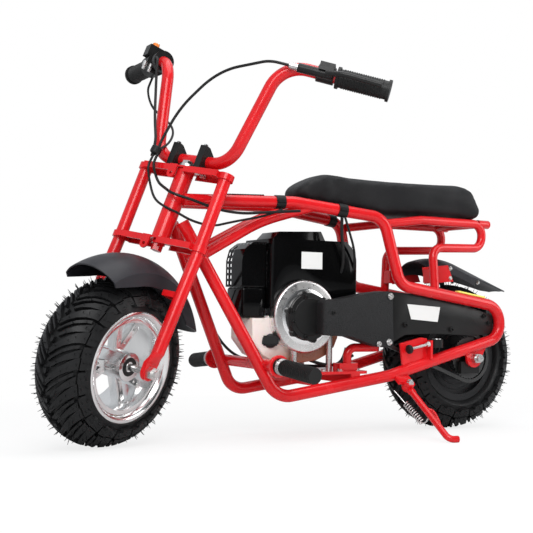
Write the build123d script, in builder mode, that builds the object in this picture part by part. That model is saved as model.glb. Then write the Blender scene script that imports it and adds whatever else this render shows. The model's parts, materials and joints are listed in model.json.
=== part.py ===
from build123d import *
from math import acos, atan2, cos, degrees, pi, radians, sin, sqrt, tan
import os

# Small minibike with a perimeter frame of tube loops, an air-cooled engine between them,
# twin-plate fork, fat knobby tyres and a side stand. Millimetres.
# Everything is modelled upright about the rear axle: X forward, Y to the rider's left, Z up.
# The finished pieces are then leaned onto the side stand and set on the ground.

# Wheels
TYRE_R = 145.0
CROWN_R = 59.0
TYRE_WALL = 8.0
RIM_R = 90.0
RIM_HALF_W = 41.0
RIM_WALL = 4.0
BEAD_R = 78.0
BEAD_STEP = 3.0
HUB_R = 24.0
HUB_HALF_W = 44.0
AXLE_R = 6.0
AXLE_FIT = 0.05
WHEELBASE = 724.0

# Steering
RAKE = 21.0
STEER_STOP = 27.0
FORK_AHEAD = 7.0
FORK_DROP = 226.0
HEAD_LENGTH = 134.0
LEG_SPREAD = 91.0
LEG_R = 11.0
SHEET_T = 3.0
SKIRT_H = 8.0
PLATE_GAP = 1.0
HEAD_R = 16.0
STEM_R = 8.0
STEM_FIT = 0.08
SEAT_FIT = 0.1

# Frame tubes
TUBE_R = 11.0
BRACE_R = 9.5
SEAT_TUBE_R = 8.5
PEG_TUBE_R = 10.0
RAIL_Y = 83.0

# Lean on the side stand
LEAN = 1.9

# Handlebar
BAR_R = 11.1
BAR_LIFT = 20.0
GRIP_R = 16.0
GRIP_LENGTH = 90.0
GRIP_CAP = 4.0
GRIP_FLANGE_R = 19.0
GRIP_FLANGE_T = 5.0

os.makedirs("parts", exist_ok=True)


def steering_frame():
    """Place of the steering axis at the lower fork plate: local Z runs up it, local X is forward."""
    rake = radians(RAKE)
    x = WHEELBASE - FORK_AHEAD * cos(rake) - FORK_DROP * sin(rake)
    z = FORK_DROP * cos(rake) - FORK_AHEAD * sin(rake)
    return Location((x, 0, z), (0, -RAKE, 0))


def tyre_bottom(place):
    """Height of the lowest point of a tyre whose spin axis is local Y of this place."""
    axis_z = (place * Location((0, 1, 0))).position.Z - place.position.Z
    return place.position.Z - (TYRE_R - CROWN_R) * sqrt(1 - axis_z**2) - CROWN_R


STEER_AXIS = steering_frame()
TURNED = STEER_AXIS * Location((0, 0, 0), (0, 0, STEER_STOP))
FRONT_HUB = TURNED * Location((FORK_AHEAD, 0, -FORK_DROP))
REAR_HUB = Location((0, 0, 0))

TIPPED = Location((0, 0, 0), (-LEAN, 0, 0))
NOSE_DOWN = degrees((tyre_bottom(TIPPED * FRONT_HUB) - tyre_bottom(TIPPED * REAR_HUB)) / WHEELBASE)
LEVELLED = Location((0, 0, 0), (0, NOSE_DOWN, 0)) * TIPPED
PARKED = Location((0, 0, -tyre_bottom(LEVELLED * REAR_HUB))) * LEVELLED

pieces = []


def finish(part, label, place=REAR_HUB):
    """Set the finished piece where it stands on the parked machine."""
    placed = part.moved(PARKED * place)
    placed.label = label
    pieces.append(placed)


def fore(back, y, up):
    """Point of the frame measured back and up from the middle of the lower fork plate."""
    head = STEER_AXIS.position
    return (head.X - back, y, head.Z + up)


def between(a, b, share):
    return tuple(p + (q - p) * share for p, q in zip(a, b))


def tube(points, bends, radius):
    """Round bar along straight runs joined by tangent bends."""
    with BuildPart() as bar:
        with BuildLine() as route:
            if bends:
                FilletPolyline(*points, radius=bends)
            else:
                Polyline(*points)
        with BuildSketch(Plane(origin=route.line @ 0, z_dir=route.line % 0)):
            Circle(radius)
        sweep()
    return bar.part


def cable(points, radius):
    """Cable along straight runs, with bends as large as the runs leave room for."""
    nodes = [Vector(*point) for point in points]
    bends = []
    for before, at, after in zip(nodes, nodes[1:], nodes[2:]):
        half_turn = radians((at - before).get_angle(after - at)) / 2
        bends.append(0.45 * min((at - before).length, (after - at).length) / tan(half_turn))
    return tube(nodes, bends, radius)


def mirrored(part):
    return part.mirror(Plane.XZ)


def pair(part):
    """The piece and its twin on the other side, as one node."""
    return Compound([part, mirrored(part)])


def largest(part):
    return part.solids().sort_by(SortBy.VOLUME)[-1]


def slab(outline, low_y, high_y):
    """Plate with a side-view outline (X, Z), standing between two Y planes."""
    with BuildPart() as plate:
        with BuildSketch(Plane.XZ.offset(-high_y)):
            Polygon(*outline, align=None)
        extrude(amount=high_y - low_y)
    return plate.part


def disc(x, z, radius, low_y, high_y, bore=0.0):
    """Round plate across the machine, with an optional bore."""
    with BuildPart() as plate:
        with BuildSketch(Plane.XZ.offset(-high_y)):
            with Locations((x, z)):
                Circle(radius)
                if bore:
                    Circle(bore, mode=Mode.SUBTRACT)
        extrude(amount=high_y - low_y)
    return plate.part


def hexagon(x, z, across, low_y, high_y, bore):
    """Nut across the machine."""
    with BuildPart() as nut:
        with BuildSketch(Plane.XZ.offset(-high_y)):
            with Locations((x, z)):
                RegularPolygon(across / 2, 6, major_radius=False)
                Circle(bore, mode=Mode.SUBTRACT)
        extrude(amount=high_y - low_y)
    return nut.part


def box(x, y, z):
    """Block between two planes each way."""
    with BuildPart() as block:
        with Locations(((x[0] + x[1]) / 2, (y[0] + y[1]) / 2, (z[0] + z[1]) / 2)):
            Box(x[1] - x[0], y[1] - y[0], z[1] - z[0])
    return block.part


def turned(profile):
    """Solid of revolution about local Y from its (Y, radius) outline."""
    with BuildPart() as piece:
        with BuildSketch(Plane.YZ):
            Polygon(*profile, align=None)
        revolve(axis=Axis.Y)
    return piece.part


# Head tube, between the two fork plates
head_low = PLATE_GAP
head_high = HEAD_LENGTH - SHEET_T - PLATE_GAP
with BuildPart() as head_tube:
    with BuildSketch(Plane.XY.offset(head_low)):
        Circle(HEAD_R)
        Circle(STEM_R + STEM_FIT, mode=Mode.SUBTRACT)
    extrude(amount=head_high - head_low)
finish(head_tube.part, "head_tube", STEER_AXIS)

with BuildPart() as head_space:
    with BuildSketch(Plane.XY.offset(-HEAD_R)):
        Circle(HEAD_R)
    extrude(amount=HEAD_LENGTH + 2 * HEAD_R)
HEAD_CUT = head_space.part.moved(STEER_AXIS)

# Frame loops: top tube, rear loop and down tube of each side meet butt to butt
TOP_START = fore(33, 22, 69.5)
TOP_MID = fore(243, 48, 76)
TOP_REAR = fore(422, 74, 56)
DROP_LOW = fore(455, RAIL_Y, -69.5)
LOOP_TOP = (-66, RAIL_Y, 101)
LOOP_LOW = (-66, RAIL_Y, 40)
RAIL_BEND = fore(431.5, RAIL_Y, -238.5)
FRONT_CORNER = fore(189.5, 85, -272.5)
DOWN_TOP = fore(32.5, 21, 30.5)
TOP_JOIN = between(DROP_LOW, LOOP_TOP, 0.25)
LOW_JOIN = between(LOOP_LOW, RAIL_BEND, 0.72)

top_tube = tube([TOP_START, TOP_MID, TOP_REAR, DROP_LOW, TOP_JOIN], [120, 38, 32], TUBE_R) - HEAD_CUT
rear_loop = tube([TOP_JOIN, LOOP_TOP, LOOP_LOW, LOW_JOIN], [38, 34], TUBE_R)
down_tube = tube([LOW_JOIN, RAIL_BEND, FRONT_CORNER, DOWN_TOP], [90, 42], TUBE_R) - HEAD_CUT
for label, piece in (("top_tube", top_tube), ("rear_loop", rear_loop), ("down_tube", down_tube)):
    finish(piece, label + "_left")
    finish(mirrored(piece), label + "_right")

# Braces from the foot of the head tube up to the undersides of the top tubes
BRACE = [fore(60, 29, -29.5), fore(188.5, 18, 41), between(TOP_MID, TOP_REAR, 0.22)]
brace = largest(tube(BRACE, [150], BRACE_R) - top_tube - down_tube - HEAD_CUT)
finish(pair(brace), "braces")

# Seat loops: seat rail, U-bend at the back, and the leg that curls down to the rear rail
SEAT_BACK = -36
SEAT_RAIL = [fore(430.5, 66, 46), (120, 66, 266), (SEAT_BACK, 63, 266), (SEAT_BACK, 62, 218), (98, 74, 213),
             (96, 82, 117)]
seat_loop = largest(tube(SEAT_RAIL, [60, 23, 23, 22], SEAT_TUBE_R) - top_tube - rear_loop)
finish(seat_loop, "seat_loop_left")
finish(mirrored(seat_loop), "seat_loop_right")


def cross_tube(point, half, radius):
    """Round bar straight across the machine."""
    with BuildPart() as bar:
        with BuildSketch(Plane(origin=(point[0], -half, point[2]), z_dir=(0, 1, 0))):
            Circle(radius)
        extrude(amount=2 * half)
    return bar.part


seat_cross = cross_tube((SEAT_BACK + 12, 0, 266), 62, SEAT_TUBE_R) - seat_loop - mirrored(seat_loop)
finish(largest(seat_cross), "seat_cross")

# Footpeg tube across the front of the rails, with a swept-back peg on each end
PEG_PLACE = fore(171, 0, -214)
PEG_TUBE_HALF = 125.0
PEG_R = 13.0
PEG_FLANGE_R = 14.0
PEG_FLANGE_T = 5.0
PEG_LENGTH = 98.0
PEG_SWEEP = -0.08
PEG_DROOP = -0.10
peg_tube = cross_tube(PEG_PLACE, PEG_TUBE_HALF, PEG_TUBE_R) - down_tube - mirrored(down_tube)
finish(largest(peg_tube), "peg_tube")
with BuildPart() as peg:
    with BuildSketch(Plane(origin=(PEG_PLACE[0], PEG_TUBE_HALF, PEG_PLACE[2]), z_dir=(0, 1, 0))):
        Circle(PEG_FLANGE_R)
    extrude(amount=PEG_FLANGE_T)
    with BuildSketch(Plane(origin=(PEG_PLACE[0], PEG_TUBE_HALF + PEG_FLANGE_T - 1, PEG_PLACE[2]),
                           z_dir=(PEG_SWEEP, 1, PEG_DROOP))):
        Circle(PEG_R)
    extrude(amount=PEG_LENGTH)
finish(pair(peg.part), "footpegs")

# Engine mounting plate on two cross bars between the bottom rails
PLATE_TOP = -20.0
PLATE_THICK = 5.0
PLATE_CORNER_R = 10.0
PLATE_MID = fore(311.5, 0, 0)[0]
PLATE_LENGTH = 150.0
CROSS_BAR_W = 20.0
CROSS_BAR_H = 18.0
CROSS_BAR_APART = 90.0
with BuildPart() as engine_plate:
    with BuildSketch(Plane.XY.offset(PLATE_TOP)):
        with Locations((PLATE_MID, 0)):
            RectangleRounded(PLATE_LENGTH, 2 * RAIL_Y, PLATE_CORNER_R)
    extrude(amount=-PLATE_THICK)
    with BuildSketch(Plane.XY.offset(PLATE_TOP - PLATE_THICK)):
        with Locations((PLATE_MID - CROSS_BAR_APART / 2, 0), (PLATE_MID + CROSS_BAR_APART / 2, 0)):
            Rectangle(CROSS_BAR_W, 2 * RAIL_Y)
    extrude(amount=-CROSS_BAR_H)
finish(largest(engine_plate.part - down_tube - mirrored(down_tube)), "engine_plate")

# Engine, measured from its crankshaft
CRANK = fore(264.5, 0, 0)[0], 78.0
ENGINE = Location((CRANK[0], 0, CRANK[1]))
BLOCK_X, BLOCK_Y, BLOCK_Z = (-112.0, 60.0), (-50.0, 38.0), (1.0, 132.0)
SHROUD_WALL = 8.0
SHROUD_GAP = 0.3
SHROUD_CORNER_R = 16.0
GUARD_HALF_Y = 31.0
GUARD_X = (69.0, 119.0)
GUARD_Z = (-3.0, 134.0)
GUARD_SPLIT = 52.0
CLUTCH_R = 66.0
CLUTCH_Y = 58.0
BELL_R = 42.0
BELL_Y = 72.0
STARTER_R = 60.0
STARTER_T = 20.0


def wider(span, low, high):
    return (span[0] - low, span[1] + high)


finish(box(BLOCK_X, BLOCK_Y, BLOCK_Z), "engine_block", ENGINE)
shroud_x = wider(BLOCK_X, SHROUD_WALL, SHROUD_WALL)
shroud_y = wider(BLOCK_Y, SHROUD_WALL, SHROUD_WALL)
SHROUD_TOP = BLOCK_Z[1] + SHROUD_WALL
SHROUD_SIDE = [(shroud_x[0], 14), (shroud_x[0], 100), (shroud_x[0] + 8, 122), (shroud_x[0] + 26, SHROUD_TOP),
               (shroud_x[1] - 4, SHROUD_TOP), (shroud_x[1], 120), (shroud_x[1], 14)]
LID_SIDE = [(-58, SHROUD_TOP), (-48, SHROUD_TOP + 18), (41, SHROUD_TOP + 14), (55, SHROUD_TOP)]
LID_HALF_Y = 36.0
inside = box(wider(BLOCK_X, SHROUD_GAP, SHROUD_GAP), wider(BLOCK_Y, SHROUD_GAP, SHROUD_GAP),
             (BLOCK_Z[0], BLOCK_Z[1] + SHROUD_GAP))
with BuildPart() as engine_shroud:
    add(slab(SHROUD_SIDE, *shroud_y))
    fillet(engine_shroud.edges().filter_by(Axis.Z), SHROUD_CORNER_R / 2)
    add(slab(LID_SIDE, -LID_HALF_Y, LID_HALF_Y - 8))
    add(inside, mode=Mode.SUBTRACT)
    add(disc(0, 0, CLUTCH_R + 1, BLOCK_Y[1] - 5, BLOCK_Y[1] + 20), mode=Mode.SUBTRACT)
    add(box(GUARD_X, (-90, 90), (0, SHROUD_TOP - 8)), mode=Mode.SUBTRACT)
finish(engine_shroud.part, "engine_shroud", ENGINE)

# Perforated cover over the exhaust in front, and the air box under it
guard_face = [(GUARD_X[0], GUARD_SPLIT), (GUARD_X[0], GUARD_Z[1] - 2), (GUARD_X[1] - 22, GUARD_Z[1] - 2),
              (GUARD_X[1] - 6, GUARD_Z[1] - 14), (GUARD_X[1], 100), (GUARD_X[1], GUARD_SPLIT)]
finish(slab(guard_face, -GUARD_HALF_Y, GUARD_HALF_Y), "muffler_guard", ENGINE)
air_box = box((GUARD_X[0], GUARD_X[1] - 2), (-GUARD_HALF_Y, GUARD_HALF_Y),
              (GUARD_Z[0], GUARD_SPLIT - SHROUD_GAP))
finish(air_box, "air_box", ENGINE)

# Clutch housing ring with the bell and its jackshaft arm on the left, recoil starter on the right
finish(disc(0, 0, CLUTCH_R, BLOCK_Y[1], CLUTCH_Y), "clutch_housing", ENGINE)
DRIVE = (-81.0, -1.0)
ARM = [(-12, -33), (-12, 29), (DRIVE[0] - 11, 20), (DRIVE[0] - 11, -20)]
bell = disc(0, 0, BELL_R, CLUTCH_Y, BELL_Y) + slab(ARM, CLUTCH_Y, CLUTCH_Y + 4)
finish(bell, "clutch_bell", ENGINE)
starter_y = shroud_y[0] - SHROUD_GAP
with BuildPart() as pull_starter:
    add(disc(0, 40, STARTER_R, starter_y - STARTER_T, starter_y))
    fillet(pull_starter.faces().sort_by(Axis.Y)[0].edges(), 8)
finish(pull_starter.part, "pull_starter", ENGINE)

# Fuel tank slung under the engine
TANK_TOP = BLOCK_Z[0] - SHROUD_GAP
TANK_STEP = GUARD_Z[0] - SHROUD_GAP
TANK_Y = (-44.0, BLOCK_Y[1] - SHROUD_GAP)
TANK_SIDE = [(-80, TANK_TOP), (-82, -38), (-74, -56), (-58, -70), (-36, -80), (-5, -84), (58, -79), (77, -70),
             (100, -42), (100, TANK_STEP), (GUARD_X[0] - 1, TANK_STEP), (GUARD_X[0] - 1, TANK_TOP)]
tank = slab(TANK_SIDE, *TANK_Y)
finish(tank, "fuel_tank", ENGINE)

# Four short pillars from the engine down to its plate
PILLAR_R = 6.0
PILLAR_X = (18.0, -58.0)
PILLAR_Y = (-52.0, 45.0)
pillar_foot = PLATE_TOP - CRANK[1]
with BuildPart() as engine_pillars:
    with BuildSketch(Plane.XY.offset(pillar_foot)):
        with Locations((PILLAR_X[0], PILLAR_Y[0]), (PILLAR_X[0], PILLAR_Y[1]), (PILLAR_X[1], PILLAR_Y[0]),
                       (PILLAR_X[1], PILLAR_Y[1])):
            Circle(PILLAR_R)
    extrude(amount=-pillar_foot + BLOCK_Z[0])
feet = engine_pillars.part - tank - disc(0, 0, CLUTCH_R, BLOCK_Y[1], CLUTCH_Y)
finish(feet, "engine_pillars", ENGINE)

# Chain guard: deep moulded cover over the jackshaft, running back as a flat plate to the axle
GUARD_OUT = 98.0
GUARD_IN = 76.5
GUARD_WALL = 3.0
COVER = [(-12, 26), (-17, 31), (-50, 33), (-61, 35), (-76, 38), (-112, 45), (-146, 49), (-160, 49),
         (-163, 44), (-166, -50), (-160, -55), (-135, -54), (-73, -35), (-30, -33), (-12, -31)]
COVER_INSIDE = [(-15, 23), (-50, 30), (-75, 35), (-146, 46), (-175, 46), (-175, -51), (-135, -51), (-73, -32),
                (-15, -28)]
with BuildPart() as chain_guard_front:
    add(slab(COVER, CLUTCH_Y + 4.3, GUARD_OUT))
    fillet(chain_guard_front.faces().sort_by(Axis.Y)[-1].edges().sort_by(Axis.X)[-1], 8)
    add(slab(COVER_INSIDE, CLUTCH_Y, GUARD_OUT - GUARD_WALL), mode=Mode.SUBTRACT)
    add(disc(0, 0, BELL_R + 1, CLUTCH_Y - 5, BELL_Y + 1), mode=Mode.SUBTRACT)
finish(chain_guard_front.part, "chain_guard_front", ENGINE)

STRIP = [(CRANK[0] - 160, 127), (CRANK[0] - 160, 24), (166, 46), (96, 48), (-10, 44), (-50, 48), (-52, 84),
         (0, 98), (120, 122)]
cover_block = slab(COVER, CLUTCH_Y, GUARD_OUT).moved(ENGINE)
guard_strip = slab(STRIP, GUARD_IN, GUARD_IN + GUARD_WALL) - rear_loop - top_tube - down_tube - cover_block
finish(largest(guard_strip), "chain_guard_rear")

# Drive: jackshaft sprocket, wheel sprocket and the chain on them
PITCH = 8.0
WHEEL_TEETH = 36
ENGINE_TEETH = 11
CHAIN_Y = 68.0
CHAIN_W = 7.0
CHAIN_H = 7.0
SPROCKET_T = 3.0
TOOTH_GAP = 0.5
TOOTH_R = 2.6
WHEEL_PITCH_R = PITCH / (2 * sin(pi / WHEEL_TEETH))
ENGINE_PITCH_R = PITCH / (2 * sin(pi / ENGINE_TEETH))
DRIVE_X, DRIVE_Z = CRANK[0] + DRIVE[0], CRANK[1] + DRIVE[1]


def sprocket(teeth, pitch_r, bore):
    """Toothed disc in the chain's plane about the local Y axis; its teeth stop just inside the chain."""
    tip = pitch_r - CHAIN_H / 2 - TOOTH_GAP
    with BuildPart() as wheel:
        with BuildSketch(Plane.XZ.offset(-CHAIN_Y - SPROCKET_T / 2)):
            Circle(tip)
            with PolarLocations(tip + 1.0, teeth):
                Circle(TOOTH_R, mode=Mode.SUBTRACT)
            Circle(bore, mode=Mode.SUBTRACT)
        extrude(amount=SPROCKET_T)
    return wheel.part


def around(x, z, r, angle):
    return (x + r * cos(angle), z + r * sin(angle))


def chain_run(grow):
    """Closed side view line round both pitch circles, grown or shrunk by some height."""
    big, small = WHEEL_PITCH_R + grow, ENGINE_PITCH_R + grow
    slope = atan2(DRIVE_Z, DRIVE_X)
    flare = acos((big - small) / sqrt(DRIVE_X**2 + DRIVE_Z**2))
    wheel_up, wheel_down = around(0, 0, big, slope + flare), around(0, 0, big, slope - flare)
    drive_up = around(DRIVE_X, DRIVE_Z, small, slope + flare)
    drive_down = around(DRIVE_X, DRIVE_Z, small, slope - flare)
    with BuildLine() as run:
        Line(wheel_up, drive_up)
        ThreePointArc(drive_up, around(DRIVE_X, DRIVE_Z, small, slope), drive_down)
        Line(drive_down, wheel_down)
        ThreePointArc(wheel_down, around(0, 0, big, slope + pi), wheel_up)
    return run.line


with BuildPart() as chain:
    with BuildSketch(Plane.XZ.offset(-CHAIN_Y - CHAIN_W / 2)):
        with BuildLine():
            add(chain_run(CHAIN_H / 2))
        make_face()
        with BuildLine():
            add(chain_run(-CHAIN_H / 2))
        make_face(mode=Mode.SUBTRACT)
    extrude(amount=CHAIN_W)
finish(chain.part, "chain")
DRIVE_HUB_R = 5.0
drive_hub = disc(DRIVE_X, DRIVE_Z, DRIVE_HUB_R, CLUTCH_Y + 4 + SHROUD_GAP, CHAIN_Y + 6)
drive = sprocket(ENGINE_TEETH, ENGINE_PITCH_R, DRIVE_HUB_R - 1).moved(Location((DRIVE_X, 0, DRIVE_Z)))
finish(drive + drive_hub, "drive_sprocket")

# Wheels: the same fat tyre front and rear, spoked rim in front, closed disc rim behind
BORE_R = AXLE_R + AXLE_FIT
rim_edge = RIM_R - BEAD_STEP
wall_in = RIM_HALF_W - RIM_WALL
BEAD_W = 9.0
SHOULDER_ANGLE = 80.0
LUG_H = 6.0
LUG_ANGLE = 74.0
LUG_PITCHES = 14
# Two arms of a chevron on each side of the crown, as seen from above: (forward, sideways) corners
LUG_ARMS = (
    [(22, 3), (8, 3), (-10, 34), (6, 34)],
    [(2, 38), (-14, 38), (-20, 62), (0, 62)],
)


def crown_end(crown, angle):
    """Point (Y, radius) of a crown arc at an angle from the top."""
    turn = radians(angle)
    return (crown * sin(turn), TYRE_R - CROWN_R + crown * cos(turn))


def tread_lugs():
    """One pitch of chevron lugs at the top of the tyre, both sides."""
    low = CROWN_R - LUG_H - 1
    (low_y, low_z), (high_y, high_z) = crown_end(low, LUG_ANGLE), crown_end(CROWN_R, LUG_ANGLE)
    with BuildPart() as band:
        with BuildSketch(Plane.YZ):
            with BuildLine():
                ThreePointArc((-high_y, high_z), (0, TYRE_R), (high_y, high_z))
                Line((high_y, high_z), (low_y, low_z))
                ThreePointArc((low_y, low_z), (0, TYRE_R - CROWN_R + low), (-low_y, low_z))
                Line((-low_y, low_z), (-high_y, high_z))
            make_face()
        revolve(axis=Axis.Y)
        with BuildSketch(Plane.XY.offset(TYRE_R - CROWN_R)):
            for arm in LUG_ARMS:
                Polygon(*arm, align=None)
                Polygon(*[(ahead_by, -aside) for ahead_by, aside in arm], align=None)
        extrude(amount=CROWN_R + 1, mode=Mode.INTERSECT)
    return band.part


def tyre_body():
    """Knobby tyre: a carcass turned about local Y, with its chevron lugs round the crown."""
    side_y, side_z = crown_end(CROWN_R - LUG_H, SHOULDER_ANGLE)
    toe = wall_in - BEAD_W
    with BuildPart() as tyre:
        with BuildSketch(Plane.YZ):
            with BuildLine():
                ThreePointArc((-side_y, side_z), (0, TYRE_R - LUG_H), (side_y, side_z))
                Polyline((side_y, side_z), (RIM_HALF_W + BEAD_STEP, rim_edge), (wall_in, rim_edge),
                         (wall_in, BEAD_R), (toe, BEAD_R))
                ThreePointArc((toe, BEAD_R), (0, TYRE_R - LUG_H - TYRE_WALL), (-toe, BEAD_R))
                Polyline((-toe, BEAD_R), (-wall_in, BEAD_R), (-wall_in, rim_edge),
                         (-RIM_HALF_W - BEAD_STEP, rim_edge), (-side_y, side_z))
            make_face()
        revolve(axis=Axis.Y)
        lugs = tread_lugs()
        add([lugs.rotate(Axis.Y, 360 / LUG_PITCHES * pitch) for pitch in range(LUG_PITCHES)])
    return tyre.part


def barrel():
    """Rim well with its two flanges, turned about local Y."""
    w, low = RIM_HALF_W, BEAD_R - RIM_WALL
    return turned([(-w, rim_edge), (-w, low), (w, low), (w, rim_edge), (wall_in, rim_edge), (wall_in, BEAD_R),
                   (-wall_in, BEAD_R), (-wall_in, rim_edge)])


hub = turned([(-HUB_HALF_W, BORE_R), (HUB_HALF_W, BORE_R), (HUB_HALF_W, HUB_R), (-HUB_HALF_W, HUB_R)])

# Front rim: three cast spokes, each a pair of arms that part towards the rim
SPOKES = 3
SPOKE_HALF_T = 9.0
SPOKE_ARM_W = 13.0
SPOKE_ROOT = 8.0
SPOKE_SPREAD = 17.0


def spoke_arm(middle, side):
    """Outline of one arm of a spoke pair, leaning away from the pair's middle line."""
    root, end = radians(middle + side * SPOKE_ROOT), radians(middle + side * SPOKE_SPREAD)
    start = Vector(*around(0, 0, HUB_R * 0.8, root))
    stop = Vector(*around(0, 0, BEAD_R - 2, end))
    half = (stop - start).normalized().rotate(Axis.Z, 90) * (SPOKE_ARM_W / 2)
    return [(corner.X, corner.Y) for corner in (start + half, stop + half, stop - half, start - half)]


with BuildPart() as spoke_arms:
    with BuildSketch(Plane.XZ.offset(-SPOKE_HALF_T)):
        for spoke in range(SPOKES):
            for side in (1, -1):
                Polygon(*spoke_arm(90 + 360 / SPOKES * spoke, side), align=None)
        Circle(HUB_R - 1, mode=Mode.SUBTRACT)
    extrude(amount=2 * SPOKE_HALF_T)
tyre = tyre_body()
finish(tyre, "front_tyre", FRONT_HUB)
finish(barrel() + hub + spoke_arms.part, "front_rim", FRONT_HUB)

# Rear rim: a closed disc near the left flange
DISC_Y = 30.0
DISC_T = 4.0
rear_rim = barrel() + hub + disc(0, 0, BEAD_R - 1, DISC_Y - DISC_T, DISC_Y, HUB_R - 1)
finish(tyre, "rear_tyre")
finish(rear_rim, "rear_rim")
CARRIER_R = 22.0
sprocket_in, sprocket_out = CHAIN_Y - SPROCKET_T / 2, CHAIN_Y + SPROCKET_T / 2
carrier = turned([(HUB_HALF_W, BORE_R), (sprocket_out, BORE_R), (sprocket_out, CARRIER_R),
                  (HUB_HALF_W, CARRIER_R)])
finish(sprocket(WHEEL_TEETH, WHEEL_PITCH_R, CARRIER_R - 1) + carrier, "rear_sprocket")

# Rear axle with its nuts, and the dropout plates that hold it under the rails
DROPOUT_Y = (80.0, 86.0)
NUT_ACROSS = 17.0
NUT_H = 10.0
AXLE_END = DROPOUT_Y[1] + NUT_H + 6
rear_axle = turned([(-AXLE_END, 0), (AXLE_END, 0), (AXLE_END, AXLE_R), (-AXLE_END, AXLE_R)])
rear_nut = hexagon(0, 0, NUT_ACROSS, DROPOUT_Y[1], DROPOUT_Y[1] + NUT_H, AXLE_R - 1)
finish(rear_axle + rear_nut + mirrored(rear_nut), "rear_axle")
with BuildPart() as dropout_plate:
    with BuildSketch(Plane.XZ.offset(-DROPOUT_Y[1])):
        Polygon((-35, 30), (-17, 0), (17, 0), (35, 24), align=None)
        Circle(18)
        Circle(AXLE_R, mode=Mode.SUBTRACT)
    extrude(amount=DROPOUT_Y[1] - DROPOUT_Y[0])
dropout = (dropout_plate.part - rear_loop).solids().sort_by(Axis.Z)[0]
finish(pair(dropout), "dropouts")

# Rear brake caliper inside the left dropout
finish(box((-18, 28), (71, 79.7), (-30, -7)), "rear_brake")

# Fork: two legs under two pressed plates
FLAT_Y = 81.0
FLAT_T = 8.0
FLAT_W = 28.0
FLAT_TOP = 14.0
FLAT_START = 34.0
PLATE_END_R = 14.0
PLATE_HALF_W = 20.0
TAB_Y = -12.0
TAB_W = 17.0
TAB_H = 17.0
TAB_T = 3.0
TAB_BORE_R = 3.2
LEG_KINK = -10.0
with BuildPart() as fork_leg:
    with BuildSketch(Plane.XY.offset(HEAD_LENGTH - SHEET_T)):
        with Locations((0, LEG_SPREAD)):
            Circle(LEG_R)
    extrude(amount=LEG_KINK - HEAD_LENGTH + SHEET_T)
    with BuildSketch(Plane.XY.offset(LEG_KINK)):
        with Locations((0, LEG_SPREAD)):
            Circle(LEG_R)
    with BuildSketch(Plane.XY.offset(FLAT_START - FORK_DROP)):
        with Locations((FORK_AHEAD, LEG_SPREAD)):
            Circle(LEG_R)
    loft()
    with BuildSketch(Plane.XY.offset(FLAT_START - FORK_DROP)):
        with Locations((FORK_AHEAD, LEG_SPREAD)):
            Circle(LEG_R)
    with BuildSketch(Plane.XY.offset(FLAT_TOP - FORK_DROP)):
        with Locations((FORK_AHEAD, FLAT_Y + FLAT_T / 2)):
            Rectangle(FLAT_W, FLAT_T)
    loft()
    with BuildSketch(Plane.XZ.offset(-FLAT_Y - FLAT_T)):
        with Locations((FORK_AHEAD, -FORK_DROP)):
            Circle(FLAT_W / 2)
            with Locations((0, FLAT_TOP / 2)):
                Rectangle(FLAT_W, FLAT_TOP)
            Circle(AXLE_R, mode=Mode.SUBTRACT)
    extrude(amount=FLAT_T)
leg = fork_leg.part
finish(leg, "fork_left", TURNED)
finish(mirrored(leg), "fork_right", TURNED)


def clamp_plate(top):
    """Pressed plate with a turned-down skirt: round ends about the legs, open round the head tube."""
    with BuildPart() as plate:
        with BuildSketch(Plane.XY.offset(top)):
            with Locations((0, LEG_SPREAD), (0, -LEG_SPREAD)):
                Circle(PLATE_END_R)
            Rectangle(2 * PLATE_HALF_W, 2 * LEG_SPREAD - PLATE_END_R)
        extrude(amount=-SHEET_T)
        with BuildSketch(Plane.XY.offset(top - SHEET_T)) as skirt:
            with Locations((0, LEG_SPREAD), (0, -LEG_SPREAD)):
                Circle(PLATE_END_R)
            Rectangle(2 * PLATE_HALF_W, 2 * LEG_SPREAD - PLATE_END_R)
            offset(amount=-SHEET_T, mode=Mode.SUBTRACT)
            Circle(HEAD_R + 6, mode=Mode.SUBTRACT)
        extrude(amount=-SKIRT_H)
    return plate.part


def eyelet(top):
    """Tab hanging from the plate's front edge, bored fore and aft for a lamp or a number board."""
    with BuildPart() as tab_plate:
        with BuildSketch(Plane.YZ.offset(PLATE_HALF_W)):
            with Locations((TAB_Y, top - TAB_H / 2)):
                Rectangle(TAB_W, TAB_H)
            with Locations((TAB_Y, top - TAB_H)):
                Circle(TAB_W / 2)
                Circle(TAB_BORE_R, mode=Mode.SUBTRACT)
        extrude(amount=TAB_T)
    return tab_plate.part


def legs_out(part):
    return part - leg - mirrored(leg)


with BuildPart() as upper_plate:
    add(clamp_plate(HEAD_LENGTH))
    add(eyelet(HEAD_LENGTH))
    with BuildSketch(Plane.XY.offset(HEAD_LENGTH)):
        Circle(STEM_R + SEAT_FIT)
    extrude(amount=-SHEET_T, mode=Mode.SUBTRACT)
finish(legs_out(upper_plate.part), "upper_plate", TURNED)
STEM_NUT_R = 12.0
STEM_NUT_H = 12.0
STEM_END = 6.0
with BuildPart() as lower_plate:
    add(clamp_plate(0))
    add(eyelet(0))
    with BuildSketch():
        Circle(STEM_R)
    extrude(amount=HEAD_LENGTH + STEM_END)
    with BuildSketch(Plane.XY.offset(-SHEET_T)):
        Circle(STEM_NUT_R)
    extrude(amount=-STEM_NUT_H / 2)
    with BuildSketch(Plane.XY.offset(-SHEET_T - STEM_NUT_H / 2)):
        RegularPolygon(STEM_NUT_R - 2, 6)
    extrude(amount=-STEM_NUT_H)
finish(legs_out(lower_plate.part), "lower_plate", TURNED)

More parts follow.
